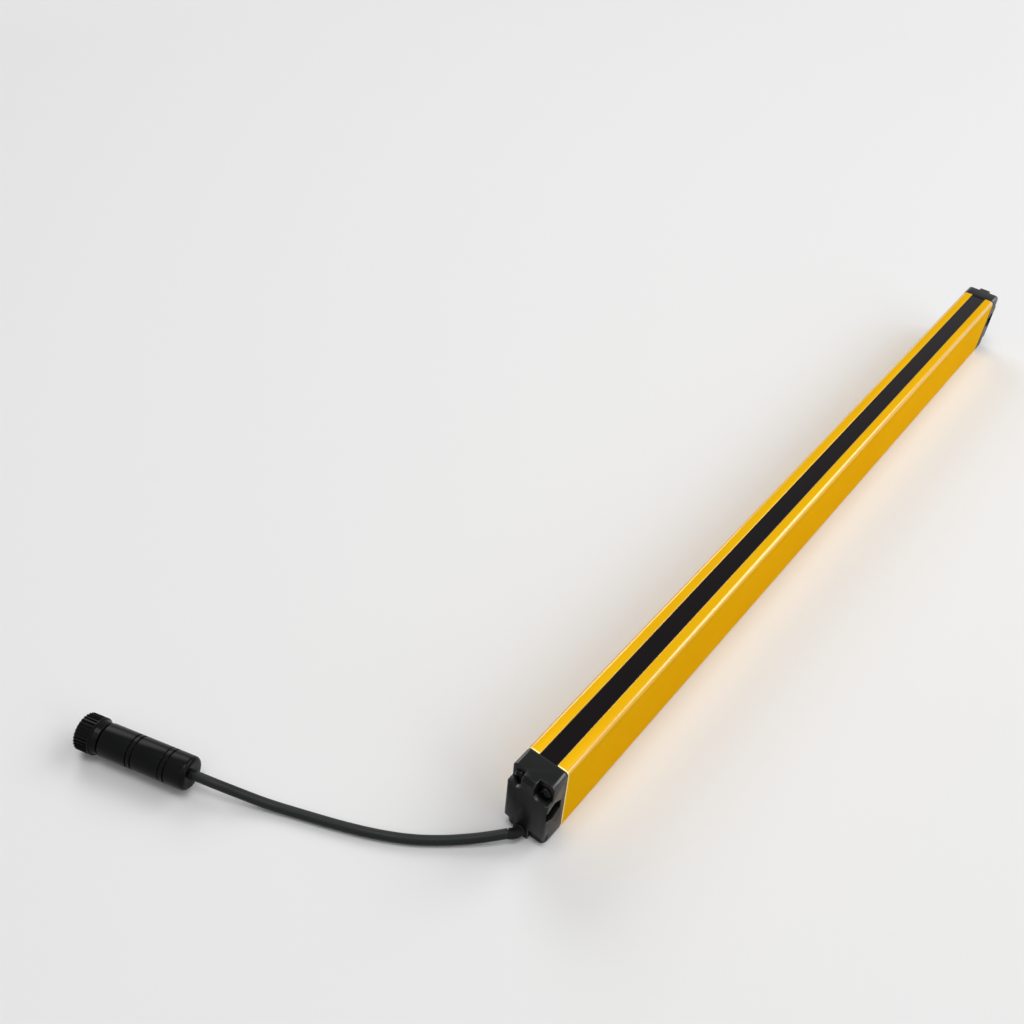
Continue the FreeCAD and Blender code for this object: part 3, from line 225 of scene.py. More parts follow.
# %% [markdown]
# ## The window
#
# The window is a strip of acrylic, dyed so dark that only infrared passes. To the eye it is
# black glass with a hint of red, smooth, with nothing to be seen behind it. So it is a plain
# dark shader rather than real glass. Its gloss is low, since the backdrop all around is pale and
# would turn it grey.

# %% Tinted acrylic
def tinted_acrylic():
    made, tree, place = new_material("acrylic_infrared_pass")
    wave = add(tree, "ShaderNodeTexNoise", {"Vector": place, "Scale": per_metre(25), "Detail": 1})
    tint = add(tree, "ShaderNodeMix", {0: wave.outputs["Fac"], 6: colour("#0B0608"), 7: colour("#120A0C")},
               data_type="RGBA")
    rough = add(tree, "ShaderNodeMapRange", {"Value": wave.outputs["Fac"], "To Min": 0.04, "To Max": 0.09})
    shader = add(tree, "ShaderNodeBsdfPrincipled", {
        "Base Color": tint.outputs[2], "Roughness": rough.outputs[0], "IOR": 1.49,
        "Specular IOR Level": 0.1})
    add(tree, "ShaderNodeOutputMaterial", {"Surface": shader.outputs[0]})
    return made


window_acrylic = tinted_acrylic()
print("made:", window_acrylic.name)

# %% [markdown]
# ## Metals
#
# The cap screws are steel with a black oxide skin, the sawn ends of the housing show bare metal
# and the contacts are gold on brass. The sawn edge is given a pale yellow, partly matt colour: a
# painted highlight line, and a painted reflection of the yellow coat beside it. A metal shows what
# it mirrors, so its tint and its roughness are all that tells one from another. One function makes
# all three, with a fine grain that breaks up the highlight.

# %% Metals
def plated(name, base, gloss, metal=1.0, grain_mm=0.3):
    """A metal whose fine grain breaks up its highlight."""
    made, tree, place = new_material(name)
    grain = add(tree, "ShaderNodeTexNoise", {"Vector": place, "Scale": per_metre(grain_mm), "Detail": 3})
    rough = add(tree, "ShaderNodeMapRange", {
        "Value": grain.outputs["Fac"], "To Min": gloss[0], "To Max": gloss[1]})
    bump = add(tree, "ShaderNodeBump", {
        "Height": grain.outputs["Fac"], "Distance": 0.01 * MM, "Strength": 0.4})
    shader = add(tree, "ShaderNodeBsdfPrincipled", {
        "Base Color": colour(base), "Metallic": metal, "Roughness": rough.outputs[0],
        "Normal": bump.outputs[0]})
    add(tree, "ShaderNodeOutputMaterial", {"Surface": shader.outputs[0]})
    return made


# the screws: nearly black, with a small metallic glint
black_steel = plated("steel_black_oxide", "#1A1B1D", (0.3, 0.42))
# the sawn edge: bare metal in a pale yellow that paints in a highlight and the reflected yellow of the coat
# beside it
sawn_edge_painted_highlight = plated("aluminium_sawn_edge_painted_highlight", "#F2DE98", (0.35, 0.45), 0.4)
# the contacts: bright gold rims
gold_contact = plated("brass_gold_plated", "#E0B45A", (0.15, 0.25))
print("metals:", black_steel.name, sawn_edge_painted_highlight.name, gold_contact.name)

# %% [markdown]
# ## Boards and clear pieces
#
# Behind the window sit green circuit boards, clear lenses and dyed diodes. They hardly show, but
# they are finished as the real ones are. The tracks could be a picture laid on the board, but a
# brick pattern needs no file and is enough here. The lenses let light through, a little hazy.

# %% Circuit board
def circuit_board():
    """Green solder mask with darker joints that read as tracks. Real ones are five times finer."""
    made, tree, place = new_material("glass_epoxy_solder_mask")
    tracks = add(tree, "ShaderNodeTexBrick", {
        "Vector": place, "Scale": per_metre(12), "Mortar Size": 0.05, "Brick Width": 0.9,
        "Row Height": 0.16, "Color1": colour("#0D5A2A"), "Color2": colour("#0F6330"),
        "Mortar": colour("#0A4520")})
    bump = add(tree, "ShaderNodeBump", {
        "Height": tracks.outputs["Fac"], "Distance": 0.03 * MM, "Strength": 0.5})
    shader = add(tree, "ShaderNodeBsdfPrincipled", {
        "Base Color": tracks.outputs["Color"], "Roughness": 0.35, "Normal": bump.outputs[0]})
    add(tree, "ShaderNodeOutputMaterial", {"Surface": shader.outputs[0]})
    return made


board_green = circuit_board()
print("made:", board_green.name)


# %% Clear pieces
def clear_acrylic(name, base, weight):
    """A clear or dyed moulding with a slight haze."""
    made, tree, place = new_material(name)
    haze = add(tree, "ShaderNodeTexNoise", {"Vector": place, "Scale": per_metre(8), "Detail": 1})
    rough = add(tree, "ShaderNodeMapRange", {"Value": haze.outputs["Fac"], "To Min": 0.03, "To Max": 0.08})
    shader = add(tree, "ShaderNodeBsdfPrincipled", {
        "Base Color": colour(base), "Roughness": rough.outputs[0], "IOR": 1.49,
        "Transmission Weight": weight})
    add(tree, "ShaderNodeOutputMaterial", {"Surface": shader.outputs[0]})
    return made


# the lenses: clear, so that the board shows through them
lens_clear = clear_acrylic("acrylic_clear_moulded", "#F2F5F7", 0.95)
# the diodes: dark violet drops that are hardly clear
diode_epoxy = clear_acrylic("epoxy_tinted_cast", "#3A2A44", 0.4)
print("finishes so far:", len(bpy.data.materials))

# %% [markdown]
# ## The lead
#
# The lead is a 6 mm PVC jacket. It leaves the cap's bend relief, falls to the table, runs away
# to the left in one slack curve and climbs into the back of the connector, which lies on its
# coupling ring. A real lead never kinks, so its line is one smooth spline led by few points. The
# first four points were moved, to leave the cap as the real lead does. The eye sees a
# dark, slightly waxy skin, scuffed in places, with a soft highlight along its top.

# %% The route of the lead
ROUTE = (
    (-0.0049, -0.3555, 0.0056), (-0.0111, -0.3627, 0.0050), (-0.0203, -0.3716, 0.0037),
    (-0.0317, -0.3820, 0.0031), (-0.0458, -0.3930, 0.0031), (-0.0629, -0.4028, 0.0031),
    (-0.0820, -0.4116, 0.0031), (-0.1035, -0.4202, 0.0031), (-0.1230, -0.4282, 0.0037),
    (-0.1383, -0.4348, 0.0072), (-0.1518, -0.4413, 0.0116), (-0.1653, -0.4451, 0.0116),
)
LEAD_DIAMETER, LEAD_LENGTH = 0.006, 0.1865
print("the lead starts at", ROUTE[0], "and ends at", ROUTE[-1])


# %% The jacket's finish
def jacket(name, base, lighter):
    made, tree, place = new_material(name)
    skin = add(tree, "ShaderNodeTexNoise", {"Vector": place, "Scale": per_metre(0.8), "Detail": 3})
    scuff = add(tree, "ShaderNodeTexNoise", {"Vector": place, "Scale": per_metre(14), "Detail": 4})
    tint = add(tree, "ShaderNodeMix", {0: scuff.outputs["Fac"], 6: colour(base), 7: colour(lighter)},
               data_type="RGBA")
    rough = add(tree, "ShaderNodeMapRange", {
        "Value": scuff.outputs["Fac"], "From Min": 0.3, "From Max": 0.7, "To Min": 0.36, "To Max": 0.5})
    bump = add(tree, "ShaderNodeBump", {
        "Height": skin.outputs["Fac"], "Distance": 0.02 * MM, "Strength": 0.4})
    shader = add(tree, "ShaderNodeBsdfPrincipled", {
        "Base Color": tint.outputs[2], "Roughness": rough.outputs[0], "IOR": 1.53,
        "Specular IOR Level": 0.2, "Normal": bump.outputs[0]})
    add(tree, "ShaderNodeOutputMaterial", {"Surface": shader.outputs[0]})
    return made


# the jacket: dark and a little waxy, with dull scuffed places
lead_pvc = jacket("pvc_jacket_extruded", "#0E1010", "#151717")
print("made:", lead_pvc.name)

# %% Lead
line = bpy.data.curves.new("lead", "CURVE")
line.dimensions = "3D"
spline = line.splines.new("NURBS")
spline.points.add(len(ROUTE) - 1)
for point, spot in zip(spline.points, ROUTE):
    point.co = (*spot, 1)
spline.order_u = 3
spline.use_endpoint_u = True
spline.resolution_u = 12
line.bevel_depth = LEAD_DIAMETER / 2
line.bevel_resolution = 8
line.use_fill_caps = True
line.materials.append(lead_pvc)
lead = bpy.data.objects.new("lead", line)
scene.collection.objects.link(lead)
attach(lead, BAR)
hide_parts("cable")
print("lead:", len(ROUTE), "points, spline length", round(spline.calc_length(), 4), "m")

# %% [markdown]
# ## Tools for the pieces
#
# Each finished piece ends as a plain mesh at the origin, with its place in its mesh. A tree of
# geometry nodes is run on a starting object, and its result is kept without the modifier.

# %% Piece tools
def shown(name, mesh, body, slot, *nodes):
    """Puts a finished mesh in the scene, on its body, in place of its CAD nodes."""
    mesh.set_sharp_from_angle(angle=math.radians(32))
    made = bpy.data.objects.new(name, mesh)
    scene.collection.objects.link(made)
    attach(made, body)
    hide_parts(*nodes)
    print(name, "with", len(mesh.polygons), "faces")
    return made


def new_tree(name, **sockets):
    """A tree with a geometry input, named inputs for its sizes, a finish and one result."""
    tree = bpy.data.node_groups.new(name, "GeometryNodeTree")
    tree.interface.new_socket("Start", in_out="INPUT", socket_type="NodeSocketGeometry")
    for label, kind in sockets.items():
        tree.interface.new_socket(label, in_out="INPUT", socket_type="NodeSocket" + kind)
    tree.interface.new_socket("Finish", in_out="INPUT", socket_type="NodeSocketMaterial")
    tree.interface.new_socket("Result", in_out="OUTPUT", socket_type="NodeSocketGeometry")
    return tree, add(tree, "NodeGroupInput").outputs


def close_tree(tree, given, last):
    """Every tree ends the same way: real geometry with its finish."""
    real = add(tree, "GeometryNodeRealizeInstances", {0: last})
    coated = add(tree, "GeometryNodeSetMaterial", {
        "Geometry": real.outputs[0], "Material": given["Finish"]})
    add(tree, "NodeGroupOutput", {0: coated.outputs[0]})
    print("tree:", tree.name, "with", len(tree.nodes), "nodes")
    return tree


def grown(start, tree, **values):
    """The mesh that a tree makes of a starting mesh or curve, with these inputs."""
    holder = bpy.data.objects.new("start", start)
    scene.collection.objects.link(holder)
    modifier = holder.modifiers.new(tree.name, "NODES")
    modifier.node_group = tree
    for item in tree.interface.items_tree:
        if item.in_out == "INPUT" and item.name in values:
            modifier[item.identifier] = values[item.name]
    bpy.context.view_layer.update()
    mesh = bpy.data.meshes.new_from_object(holder.evaluated_get(bpy.context.evaluated_depsgraph_get()))
    bpy.data.objects.remove(holder)
    # the tree leaves an empty slot before its finish
    mesh.materials.clear()
    mesh.materials.append(values["Finish"])
    for face in mesh.polygons:
        face.material_index = 0
    return mesh


def rounded(corners, steps=5):
    """A closed outline. Each corner is two places and the radius that softens it."""
    points = []
    for number, (across, up, radius) in enumerate(corners):
        here = Vector((across, up))
        back = Vector(corners[number - 1][:2]) - here
        on = Vector(corners[(number + 1) % len(corners)][:2]) - here
        if not radius:
            points.append((across, up))
            continue
        setback = min(radius / math.tan(back.angle(on) / 2), 0.49 * back.length, 0.49 * on.length)
        first, last = here + back.normalized() * setback, here + on.normalized() * setback
        for t in (step / steps for step in range(steps + 1)):
            points.append(tuple(first * (1 - t) ** 2 + here * 2 * t * (1 - t) + last * t * t))
    return points


print("points of a softened square:", len(rounded([(0, 0, 1), (9, 0, 1), (9, 9, 1), (0, 9, 1)])))

# %% [markdown]
# ## The extruded strips
#
# The housing, the window and the two seals are extrusions: one section, pushed through a die
# and cut to length. That is a rule, so a small tree makes them. It fills the drawn section,
# pushes it along the bar in three runs, so that a narrow run lies at each end, and closes both
# ends. A curve with a bevel could do it as well, but a filled section keeps the true walls,
# grooves and channels, which show at the cut ends.

# %% The extrusion tree
strip_tree, given = new_tree("extruded_strip", Length="Float", Edge="Float")
filled = add(strip_tree, "GeometryNodeFillCurve", {0: given["Start"]})
middle_run = add(strip_tree, "ShaderNodeMath", {0: given["Edge"], 1: -2.0, 2: given["Length"]},
                 operation="MULTIPLY_ADD")
mesh_so_far, top = filled.outputs[0], True
for run in (given["Edge"], middle_run.outputs[0], given["Edge"]):
    along = add(strip_tree, "ShaderNodeCombineXYZ", {"Z": run})
    pushed = add(strip_tree, "GeometryNodeExtrudeMesh", {"Mesh": mesh_so_far, "Selection": top,
                                                         "Offset": along.outputs[0], "Individual": False})
    mesh_so_far, top = pushed.outputs["Mesh"], pushed.outputs["Top"]
under = add(strip_tree, "GeometryNodeFlipFaces", {"Mesh": filled.outputs[0]})
both = add(strip_tree, "GeometryNodeJoinGeometry", {0: mesh_so_far})
strip_tree.links.new(under.outputs[0], both.inputs[0])
closed = add(strip_tree, "GeometryNodeMergeByDistance", {
    "Geometry": both.outputs[0], "Distance": WELD})
half = add(strip_tree, "ShaderNodeMath", {0: given["Length"], 1: 0.5}, operation="MULTIPLY")
middle = add(strip_tree, "ShaderNodeCombineXYZ", {"Y": half.outputs[0]})
laid = add(strip_tree, "GeometryNodeTransform", {
    "Geometry": closed.outputs[0], "Translation": middle.outputs[0], "Rotation": (math.pi / 2, 0, 0)})
close_tree(strip_tree, given, laid.outputs[0])


# %% The housing's section
def arc(across, up, radius, first, last, steps):
    """Points on an arc, with angles in degrees."""
    angles = [math.radians(first + (last - first) * step / steps) for step in range(steps + 1)]
    return [(across + radius * math.cos(angle), up + radius * math.sin(angle)) for angle in angles]


def section(points):
    """A closed outline in millimetres as a flat curve."""
    data = bpy.data.curves.new("section", "CURVE")
    data.dimensions = "2D"
    drawn = data.splines.new("POLY")
    drawn.points.add(len(points) - 1)
    for point, (across, up) in zip(drawn.points, points):
        point.co = (across * MM, up * MM, 0, 1)
    drawn.use_cyclic_u = True
    return data


def mirrored(right):
    """The same outline on the left side, in the order that goes on round the section."""
    return [(-across, up) for across, up in reversed(right)]


# the housing, in millimetres from the middle of its back: outer form and wall
HALF_WIDTH, HEIGHT, CORNER, LIP_ROUND, WALL = 14, 53, 3, 0.4, 1.8
# the window's groove and the slot that light passes through
LIP_X, GROOVE_X, SLOT_X, LIP_UNDER, LEDGE, LEDGE_UNDER = 6, 8.9, 4.9, 51.2, 48.2, 46.6
# the mounting channel in the back and its narrower mouth
CHANNEL_X, CHANNEL_DEPTH, MOUTH_X, MOUTH_DEPTH = 5.8, 5.0, 3.2, 1.6
# the two slit channels that the screws bite into, and the rails that hold the boards
SCREW_X, SCREW_Z, SCREW_BORE, SCREW_WALL = 8.4, 45.1, 2.05, 3.4
RAILS, RAIL_X, RAIL_HEIGHT, INNER_X, INNER_TOP = (18.6, 15.6, 11.4, 8.4), 10.9, 1, 12.2, 43.9


def rail(low):
    """One board rail on the inside of the wall."""
    return [(INNER_X, low + RAIL_HEIGHT), (RAIL_X, low + RAIL_HEIGHT), (RAIL_X, low), (INNER_X, low)]


outside = [(CHANNEL_X, CHANNEL_DEPTH), (CHANNEL_X, MOUTH_DEPTH), (MOUTH_X, MOUTH_DEPTH), (MOUTH_X, 0),
           *arc(HALF_WIDTH - CORNER, CORNER, CORNER, -90, 0, 12),
           *arc(HALF_WIDTH - CORNER, HEIGHT - CORNER, CORNER, 0, 90, 16),
           *arc(LIP_X + LIP_ROUND, HEIGHT - LIP_ROUND, LIP_ROUND, 90, 180, 5),
           (LIP_X, LIP_UNDER), (GROOVE_X, LIP_UNDER), (GROOVE_X, LEDGE), (SLOT_X, LEDGE),
           (SLOT_X, LEDGE_UNDER)]
screw_channel = [*arc(SCREW_X, SCREW_Z, SCREW_WALL, 153.8, 166.4, 3),
                 *arc(SCREW_X, SCREW_Z, SCREW_BORE, 157, -157, 22),
                 *arc(SCREW_X, SCREW_Z, SCREW_WALL, 193.6, 339.3, 14)]
inside = [(INNER_X, INNER_TOP), *(spot for low in RAILS for spot in rail(low)), (INNER_X, WALL),
          (CHANNEL_X + WALL, WALL), (CHANNEL_X + WALL, CHANNEL_DEPTH + WALL)]
housing_half = outside + screw_channel + inside
print("points of the housing's section:", 2 * len(housing_half))

# %% Sections of the window and a seal
WINDOW_X, WINDOW_TOP, FLANGE_X, FLANGE_TOP, SEAL_TOP = 5.5, 52.2, 8.6, 50.4, 52.6
window_half = rounded([(FLANGE_X, LEDGE, 0), (FLANGE_X, FLANGE_TOP, 0), (WINDOW_X, FLANGE_TOP, 0),
                       (WINDOW_X, WINDOW_TOP, 0.25), (0, WINDOW_TOP, 0)])[:-1]
seal_left = rounded([(-WINDOW_X, FLANGE_TOP, 0), (-WINDOW_X, SEAL_TOP, 0.15), (-LIP_X, SEAL_TOP, 0.15),
                     (-LIP_X, LIP_UNDER, 0), (-FLANGE_X, LIP_UNDER, 0), (-FLANGE_X, FLANGE_TOP, 0)])
print("points of the window's section:", 2 * len(window_half), "and of a seal's:", len(seal_left))


# %% Housing, window and seals
# the length in metres, then in millimetres the run that the second finish takes and its chamfer
LENGTH, SAWN_EDGE, BROKEN_EDGE = 0.660, 0.7, 0.3


def strip(outline, finish):
    """A section in millimetres, pushed along the whole bar."""
    return grown(section(outline), strip_tree, Length=LENGTH, Edge=SAWN_EDGE * MM, Finish=finish)


housing_outline = housing_half + mirrored(housing_half)
housing_mesh = strip(housing_outline, yellow_coat)
window_mesh = strip(window_half + mirrored(window_half), window_acrylic)
seal_mesh, other_mesh = strip(seal_left, seal_rubber), strip(mirrored(seal_left), seal_rubber)
shown("window", window_mesh, BAR, "window", "front_window")
shown("window_seal_left_strip", seal_mesh, BAR, "seal_rubber", "window_seal_left")
shown("window_seal_right_strip", other_mesh, BAR, "seal_rubber", "window_seal_right")

# %% [markdown]
# ## The sawn ends of the housing
#
# The extrusion is coated in long lengths and sawn afterwards, and its outer edge is broken with
# a file. So a thin line of bare metal runs round the outside of each end. Its bright, pale yellow
# colour is a painted highlight and a painted reflection of the yellow coat. The tree left a narrow
# run of faces there: its last points move in, and its faces take the second finish.

# %% Bare edges
def bare_ends_painted_highlight(mesh, outline, outer, width_mm):
    """Chamfers the outer outline at both sawn ends and gives the chamfer the second finish, bare metal with
    a painted highlight.
    """
    inward = {}
    for number, here in enumerate(outline):
        sides = []
        for first, last in ((outline[number - 1], here), (here, outline[(number + 1) % len(outline)])):
            if first in outer and last in outer and first != last:
                way = Vector(last) - Vector(first)
                sides.append(Vector((-way.y, way.x)).normalized())
        if sides:
            lean = sum(sides, Vector((0, 0))).normalized()
            inward[round(here[0], 2), round(here[1], 2)] = lean * width_mm
    work = bmesh.new()
    work.from_mesh(mesh)
    bare = []
    for face in work.faces:
        spots = [(round(vert.co.x / MM, 2), round(vert.co.z / MM, 2)) for vert in face.verts]
        near_end = abs(face.calc_center_median().y) > LENGTH / 2 - SAWN_EDGE * MM
        if near_end and abs(face.normal.y) < 0.5 and all(spot in inward for spot in spots):
            face.material_index = 1
            bare.append(face)
    for vert in work.verts:
        move = inward.get((round(vert.co.x / MM, 2), round(vert.co.z / MM, 2)))
        if move and abs(vert.co.y) > LENGTH / 2 - 0.1 * MM:
            vert.co += Vector((move.x, 0, move.y)) * MM
    print("bare faces:", len(bare))
    work.to_mesh(mesh)
    work.free()


# the second finish: bare metal whose pale yellow colour is a painted highlight and painted reflection
housing_mesh.materials.append(sawn_edge_painted_highlight)
outer_half = outside[3:-5]
bare_ends_painted_highlight(housing_mesh, housing_outline, set(outer_half + mirrored(outer_half)), BROKEN_EDGE)
shown("housing", housing_mesh, BAR, "housing_aluminium", "housing_extrusion")

# %% [markdown]
# ## The end caps
#
# A cap is one moulding. Nothing on it is truly sharp: every outer edge has a small radius from
# the mould, and that radius is what catches the light. The exact solid is copied, its loose
# triangles are joined, its flat sides are merged and its sharp edges get a narrow bevel. The
# inner corners of the nut pockets get a wide one, since the mould's core is round there.

# %% Softening edges
def soft_edges(mesh, width_mm, steps, chosen):
    """Bevels the chosen edges of a mesh and returns the result."""
    work = bmesh.new()
    work.from_mesh(mesh)
    weight = work.edges.layers.float.new("bevel_weight_edge")
    for edge in work.edges:
        edge[weight] = 1.0 if chosen(edge) else 0.0
    work.to_mesh(mesh)
    work.free()
    holder = bpy.data.objects.new("soft", mesh)
    scene.collection.objects.link(holder)
    bevel = holder.modifiers.new("soft", "BEVEL")
    bevel.limit_method = "WEIGHT"
    bevel.width = width_mm * MM
    bevel.segments = steps
    bevel.use_clamp_overlap = False
    bpy.context.view_layer.update()
    made = bpy.data.meshes.new_from_object(holder.evaluated_get(bpy.context.evaluated_depsgraph_get()))
    bpy.data.objects.remove(holder)
    made.polygons.foreach_set("use_smooth", [True] * len(made.polygons))
    return made


def sharp(edge):
    """True for an edge that stands out."""
    return len(edge.link_faces) == 2 and edge.calc_face_angle_signed(0) > math.radians(28)


def in_pocket(edge):
    """True for an inner corner of a nut pocket, which runs across the bar and turns by 60 degrees."""
    way = edge.verts[1].co - edge.verts[0].co
    return (len(edge.link_faces) == 2 and abs(way.x) > 4 * MM and abs(way.x) > 0.99 * way.length
            and abs(edge.calc_face_angle_signed(0) + math.pi / 3) < 0.1)


# %% Caps
CAP_EDGE, POCKET_CORNER = 0.35, 2.6


def moulded_copy(node, finish, width_mm):
    """A copy of a CAD solid with joined faces and softened outer edges."""
    work = bmesh.new()
    work.from_mesh(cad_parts[node].data)
    bmesh.ops.remove_doubles(work, verts=work.verts, dist=WELD)
    bmesh.ops.dissolve_limit(work, angle_limit=math.radians(0.5), verts=work.verts, edges=work.edges)
    corners = [edge for edge in work.edges if in_pocket(edge)]
    print(node, "pocket corners:", len(corners))
    bmesh.ops.bevel(work, geom=corners, offset=POCKET_CORNER * MM, offset_type="OFFSET", segments=5,
                    profile=0.5, affect="EDGES", clamp_overlap=True)
    mesh = bpy.data.meshes.new(node + "_moulding")
    work.to_mesh(mesh)
    work.free()
    mesh.materials.clear()
    mesh.materials.append(finish)
    return soft_edges(mesh, width_mm, 3, sharp)


for end in ("cable_end", "far_end"):
    cap_mesh = moulded_copy(end + "_cap", cap_nylon, CAP_EDGE)
    shown(end + "_cap_moulding", cap_mesh, BAR, "cap_plastic", end + "_cap")

# %% [markdown]
# ## The cap screws
#
# Four pan head screws hold the caps, two at each end, always in the same places. So one screw
# is turned and gets its cross recess, and a tree puts copies on the corners of a grid as wide
# as the screws are apart and as long as the bar. The copies at the far end are turned round.

# %% Turned pieces
def turned(name, outline, steps=96):
    """A closed outline of places along the X axis and radii, in millimetres, turned about it."""
    work = bmesh.new()
    angles = [2 * math.pi * step / steps for step in range(steps)]
    rings = []
    for along, radius in outline:
        spots = [Vector((along, radius * math.cos(angle), radius * math.sin(angle))) for angle in angles]
        rings.append([work.verts.new(spot * MM) for spot in spots])
    for number, ring in enumerate(rings):
        following = (number + 1) % len(rings)
        if outline[number][1] == 0 and outline[following][1] == 0:
            continue
        for step in range(steps):
            beside = (step + 1) % steps
            work.faces.new((ring[step], ring[beside], rings[following][beside], rings[following][step]))
    bmesh.ops.remove_doubles(work, verts=work.verts, dist=WELD)
    bmesh.ops.recalc_face_normals(work, faces=work.faces)
    mesh = bpy.data.meshes.new(name)
    work.to_mesh(mesh)
    work.free()
    mesh.polygons.foreach_set("use_smooth", [True] * len(mesh.polygons))
    return mesh


# %% The screw tree
screw_tree, given = new_tree("cap_screws", Spacing="Float", Reach="Float", Level="Float", Cross="Float",
                             Slot="Float", Depth="Float", Top="Float")
arms = []
for turn in (0, math.pi / 2):
    size = add(screw_tree, "ShaderNodeCombineXYZ", {
        "X": given["Depth"], "Y": given["Cross"], "Z": given["Slot"]})
    bar = add(screw_tree, "GeometryNodeMeshCube", {"Size": size.outputs[0]})
    spot = add(screw_tree, "ShaderNodeCombineXYZ", {"X": given["Top"]})
    arms.append(add(screw_tree, "GeometryNodeTransform", {
        "Geometry": bar.outputs[0], "Translation": spot.outputs[0], "Rotation": (turn, 0, 0)}))
cut = add(screw_tree, "GeometryNodeMeshBoolean", {"Mesh 1": given["Start"], "Mesh 2": arms[0].outputs[0]})
cut.operation, cut.solver = "DIFFERENCE", "EXACT"
screw_tree.links.new(arms[1].outputs[0], cut.inputs["Mesh 2"])
clean = add(screw_tree, "GeometryNodeMergeByDistance", {
    "Geometry": cut.outputs["Mesh"], "Distance": WELD})
grid = add(screw_tree, "GeometryNodeMeshGrid", {"Size X": given["Spacing"], "Size Y": given["Reach"],
                                                "Vertices X": 2, "Vertices Y": 2})
lift = add(screw_tree, "ShaderNodeCombineXYZ", {"Z": given["Level"]})
raised = add(screw_tree, "GeometryNodeTransform", {
    "Geometry": grid.outputs[0], "Translation": lift.outputs[0]})
place = add(screw_tree, "GeometryNodeInputPosition")
split = add(screw_tree, "ShaderNodeSeparateXYZ", {0: place.outputs[0]})
far = add(screw_tree, "ShaderNodeMath", {0: split.outputs["Y"], 1: 0.0}, operation="GREATER_THAN")
half_turn = add(screw_tree, "ShaderNodeMath", {0: far.outputs[0], 1: math.pi, 2: math.pi / 2},
                operation="MULTIPLY_ADD")
spin = add(screw_tree, "ShaderNodeCombineXYZ", {"Z": half_turn.outputs[0]})
facing = add(screw_tree, "FunctionNodeEulerToRotation", {0: spin.outputs[0]})
copies = add(screw_tree, "GeometryNodeInstanceOnPoints", {
    "Points": raised.outputs[0], "Instance": clean.outputs[0], "Rotation": facing.outputs[0]})
close_tree(screw_tree, given, copies.outputs[0])

# %% Screws
SEAT, HEAD, SHANK_END = 343.0, 2.3, 25.0
screw = turned("screw", rounded([
    (-HEAD, 0, 0), (-HEAD, 2.3, 0.6), (-HEAD * 0.62, 3.35, 0.8), (-0.4, 3.7, 0.3), (0, 3.7, 0.1),
    (0, 2.0, 0), (SHANK_END, 2.0, 0.4), (SHANK_END, 0, 0)], 4), 64)
screw_mesh = grown(screw, screw_tree, Spacing=2 * SCREW_X * MM, Reach=2 * SEAT * MM, Level=SCREW_Z * MM,
                   Cross=4.2 * MM, Slot=0.9 * MM, Depth=2.6 * MM, Top=-HEAD * MM, Finish=black_steel)
shown("cap_screws", screw_mesh, BAR, "screw_steel", "cable_end_screw_left", "cable_end_screw_right",
      "far_end_screw_left", "far_end_screw_right")

# %% [markdown]
# ## The bend relief
#
# A soft moulded sleeve keeps the lead from kinking where it leaves the cap. It follows a path,
# so a tree sweeps a circle along its line, as wide at each point as the point's own radius. It
# starts as a collar on the cap and gets thinner toward its tip.

# %% The sleeve tree
sleeve_tree, given = new_tree("tapering_sleeve", Sides="Int")
ring = add(sleeve_tree, "GeometryNodeCurvePrimitiveCircle", {"Resolution": given["Sides"], "Radius": 1.0})
width = add(sleeve_tree, "GeometryNodeInputRadius")
swept = add(sleeve_tree, "GeometryNodeCurveToMesh", {
    "Curve": given["Start"], "Profile Curve": ring.outputs[0], "Scale": width.outputs[0],
    "Fill Caps": True})
close_tree(sleeve_tree, given, swept.outputs[0])

# %% Bend relief
FACE, RELIEF_LENGTH, TIP_RADIUS = Vector((-1.5, -348.8, 4.8)), 8.55, 3.1
tip = Vector(ROUTE[0]) / MM
# places along its line and the radius there: the plug in the cap, the rounded collar, the taper
STEPS = 12
stations = [(-6.0, 4.1), (-0.1, 4.1), (0.5, 4.1), (0.75, 4.0), (0.9, 3.8), (1.0, 3.45)]
stations += [(1.0 + 7.4 * step / STEPS, 3.45 - 0.25 * step / STEPS) for step in range(1, STEPS + 1)]
stations += [(RELIEF_LENGTH, TIP_RADIUS)]
line_points = []
for along, radius in stations:
    t = min(max(along, 0) / RELIEF_LENGTH, 1)
    on_curve = FACE * (1 - t) ** 2 + (FACE + Vector((0, -4.4, 0))) * 2 * t * (1 - t) + tip * t * t
    line_points.append((on_curve if along > 0 else FACE - Vector((0, along, 0)), radius))
sleeve_line = bpy.data.curves.new("relief_line", "CURVE")
sleeve_line.dimensions = "3D"
sleeve_spline = sleeve_line.splines.new("POLY")
sleeve_spline.points.add(len(line_points) - 1)
for point, (spot, radius) in zip(sleeve_spline.points, line_points):
    point.co = (*(spot * MM), 1)
    point.radius = radius * MM
relief_mesh = grown(sleeve_line, sleeve_tree, Sides=48, Finish=relief_rubber)
relief_mesh.polygons.foreach_set("use_smooth", [True] * len(relief_mesh.polygons))
relief = shown("bend_relief", relief_mesh, BAR, "relief_rubber", "cable_relief")

# %% [markdown]
# ## The connector
#
# The connector is a set of round plastic pieces on one axis: a body with a pair of grooves near
# its middle, a clamp nut with a groove and a rounded end, and a coupling ring. They are drawn as
# half outlines and turned. Their place is worked out from the end of the lead, as for the solids.

# %% Connector body and clamp nut
tail, before_tail = Vector(ROUTE[-1]), Vector(ROUTE[-2])
axis = (before_tail - tail).normalized()
CONNECTOR_LENGTH, BODY_RADIUS = 74, 10.3
mating_end = tail - axis * CONNECTOR_LENGTH * MM
CONNECTOR = Matrix.Translation(mating_end) @ Matrix.Rotation(math.atan2(axis.y, axis.x), 4, "Z")


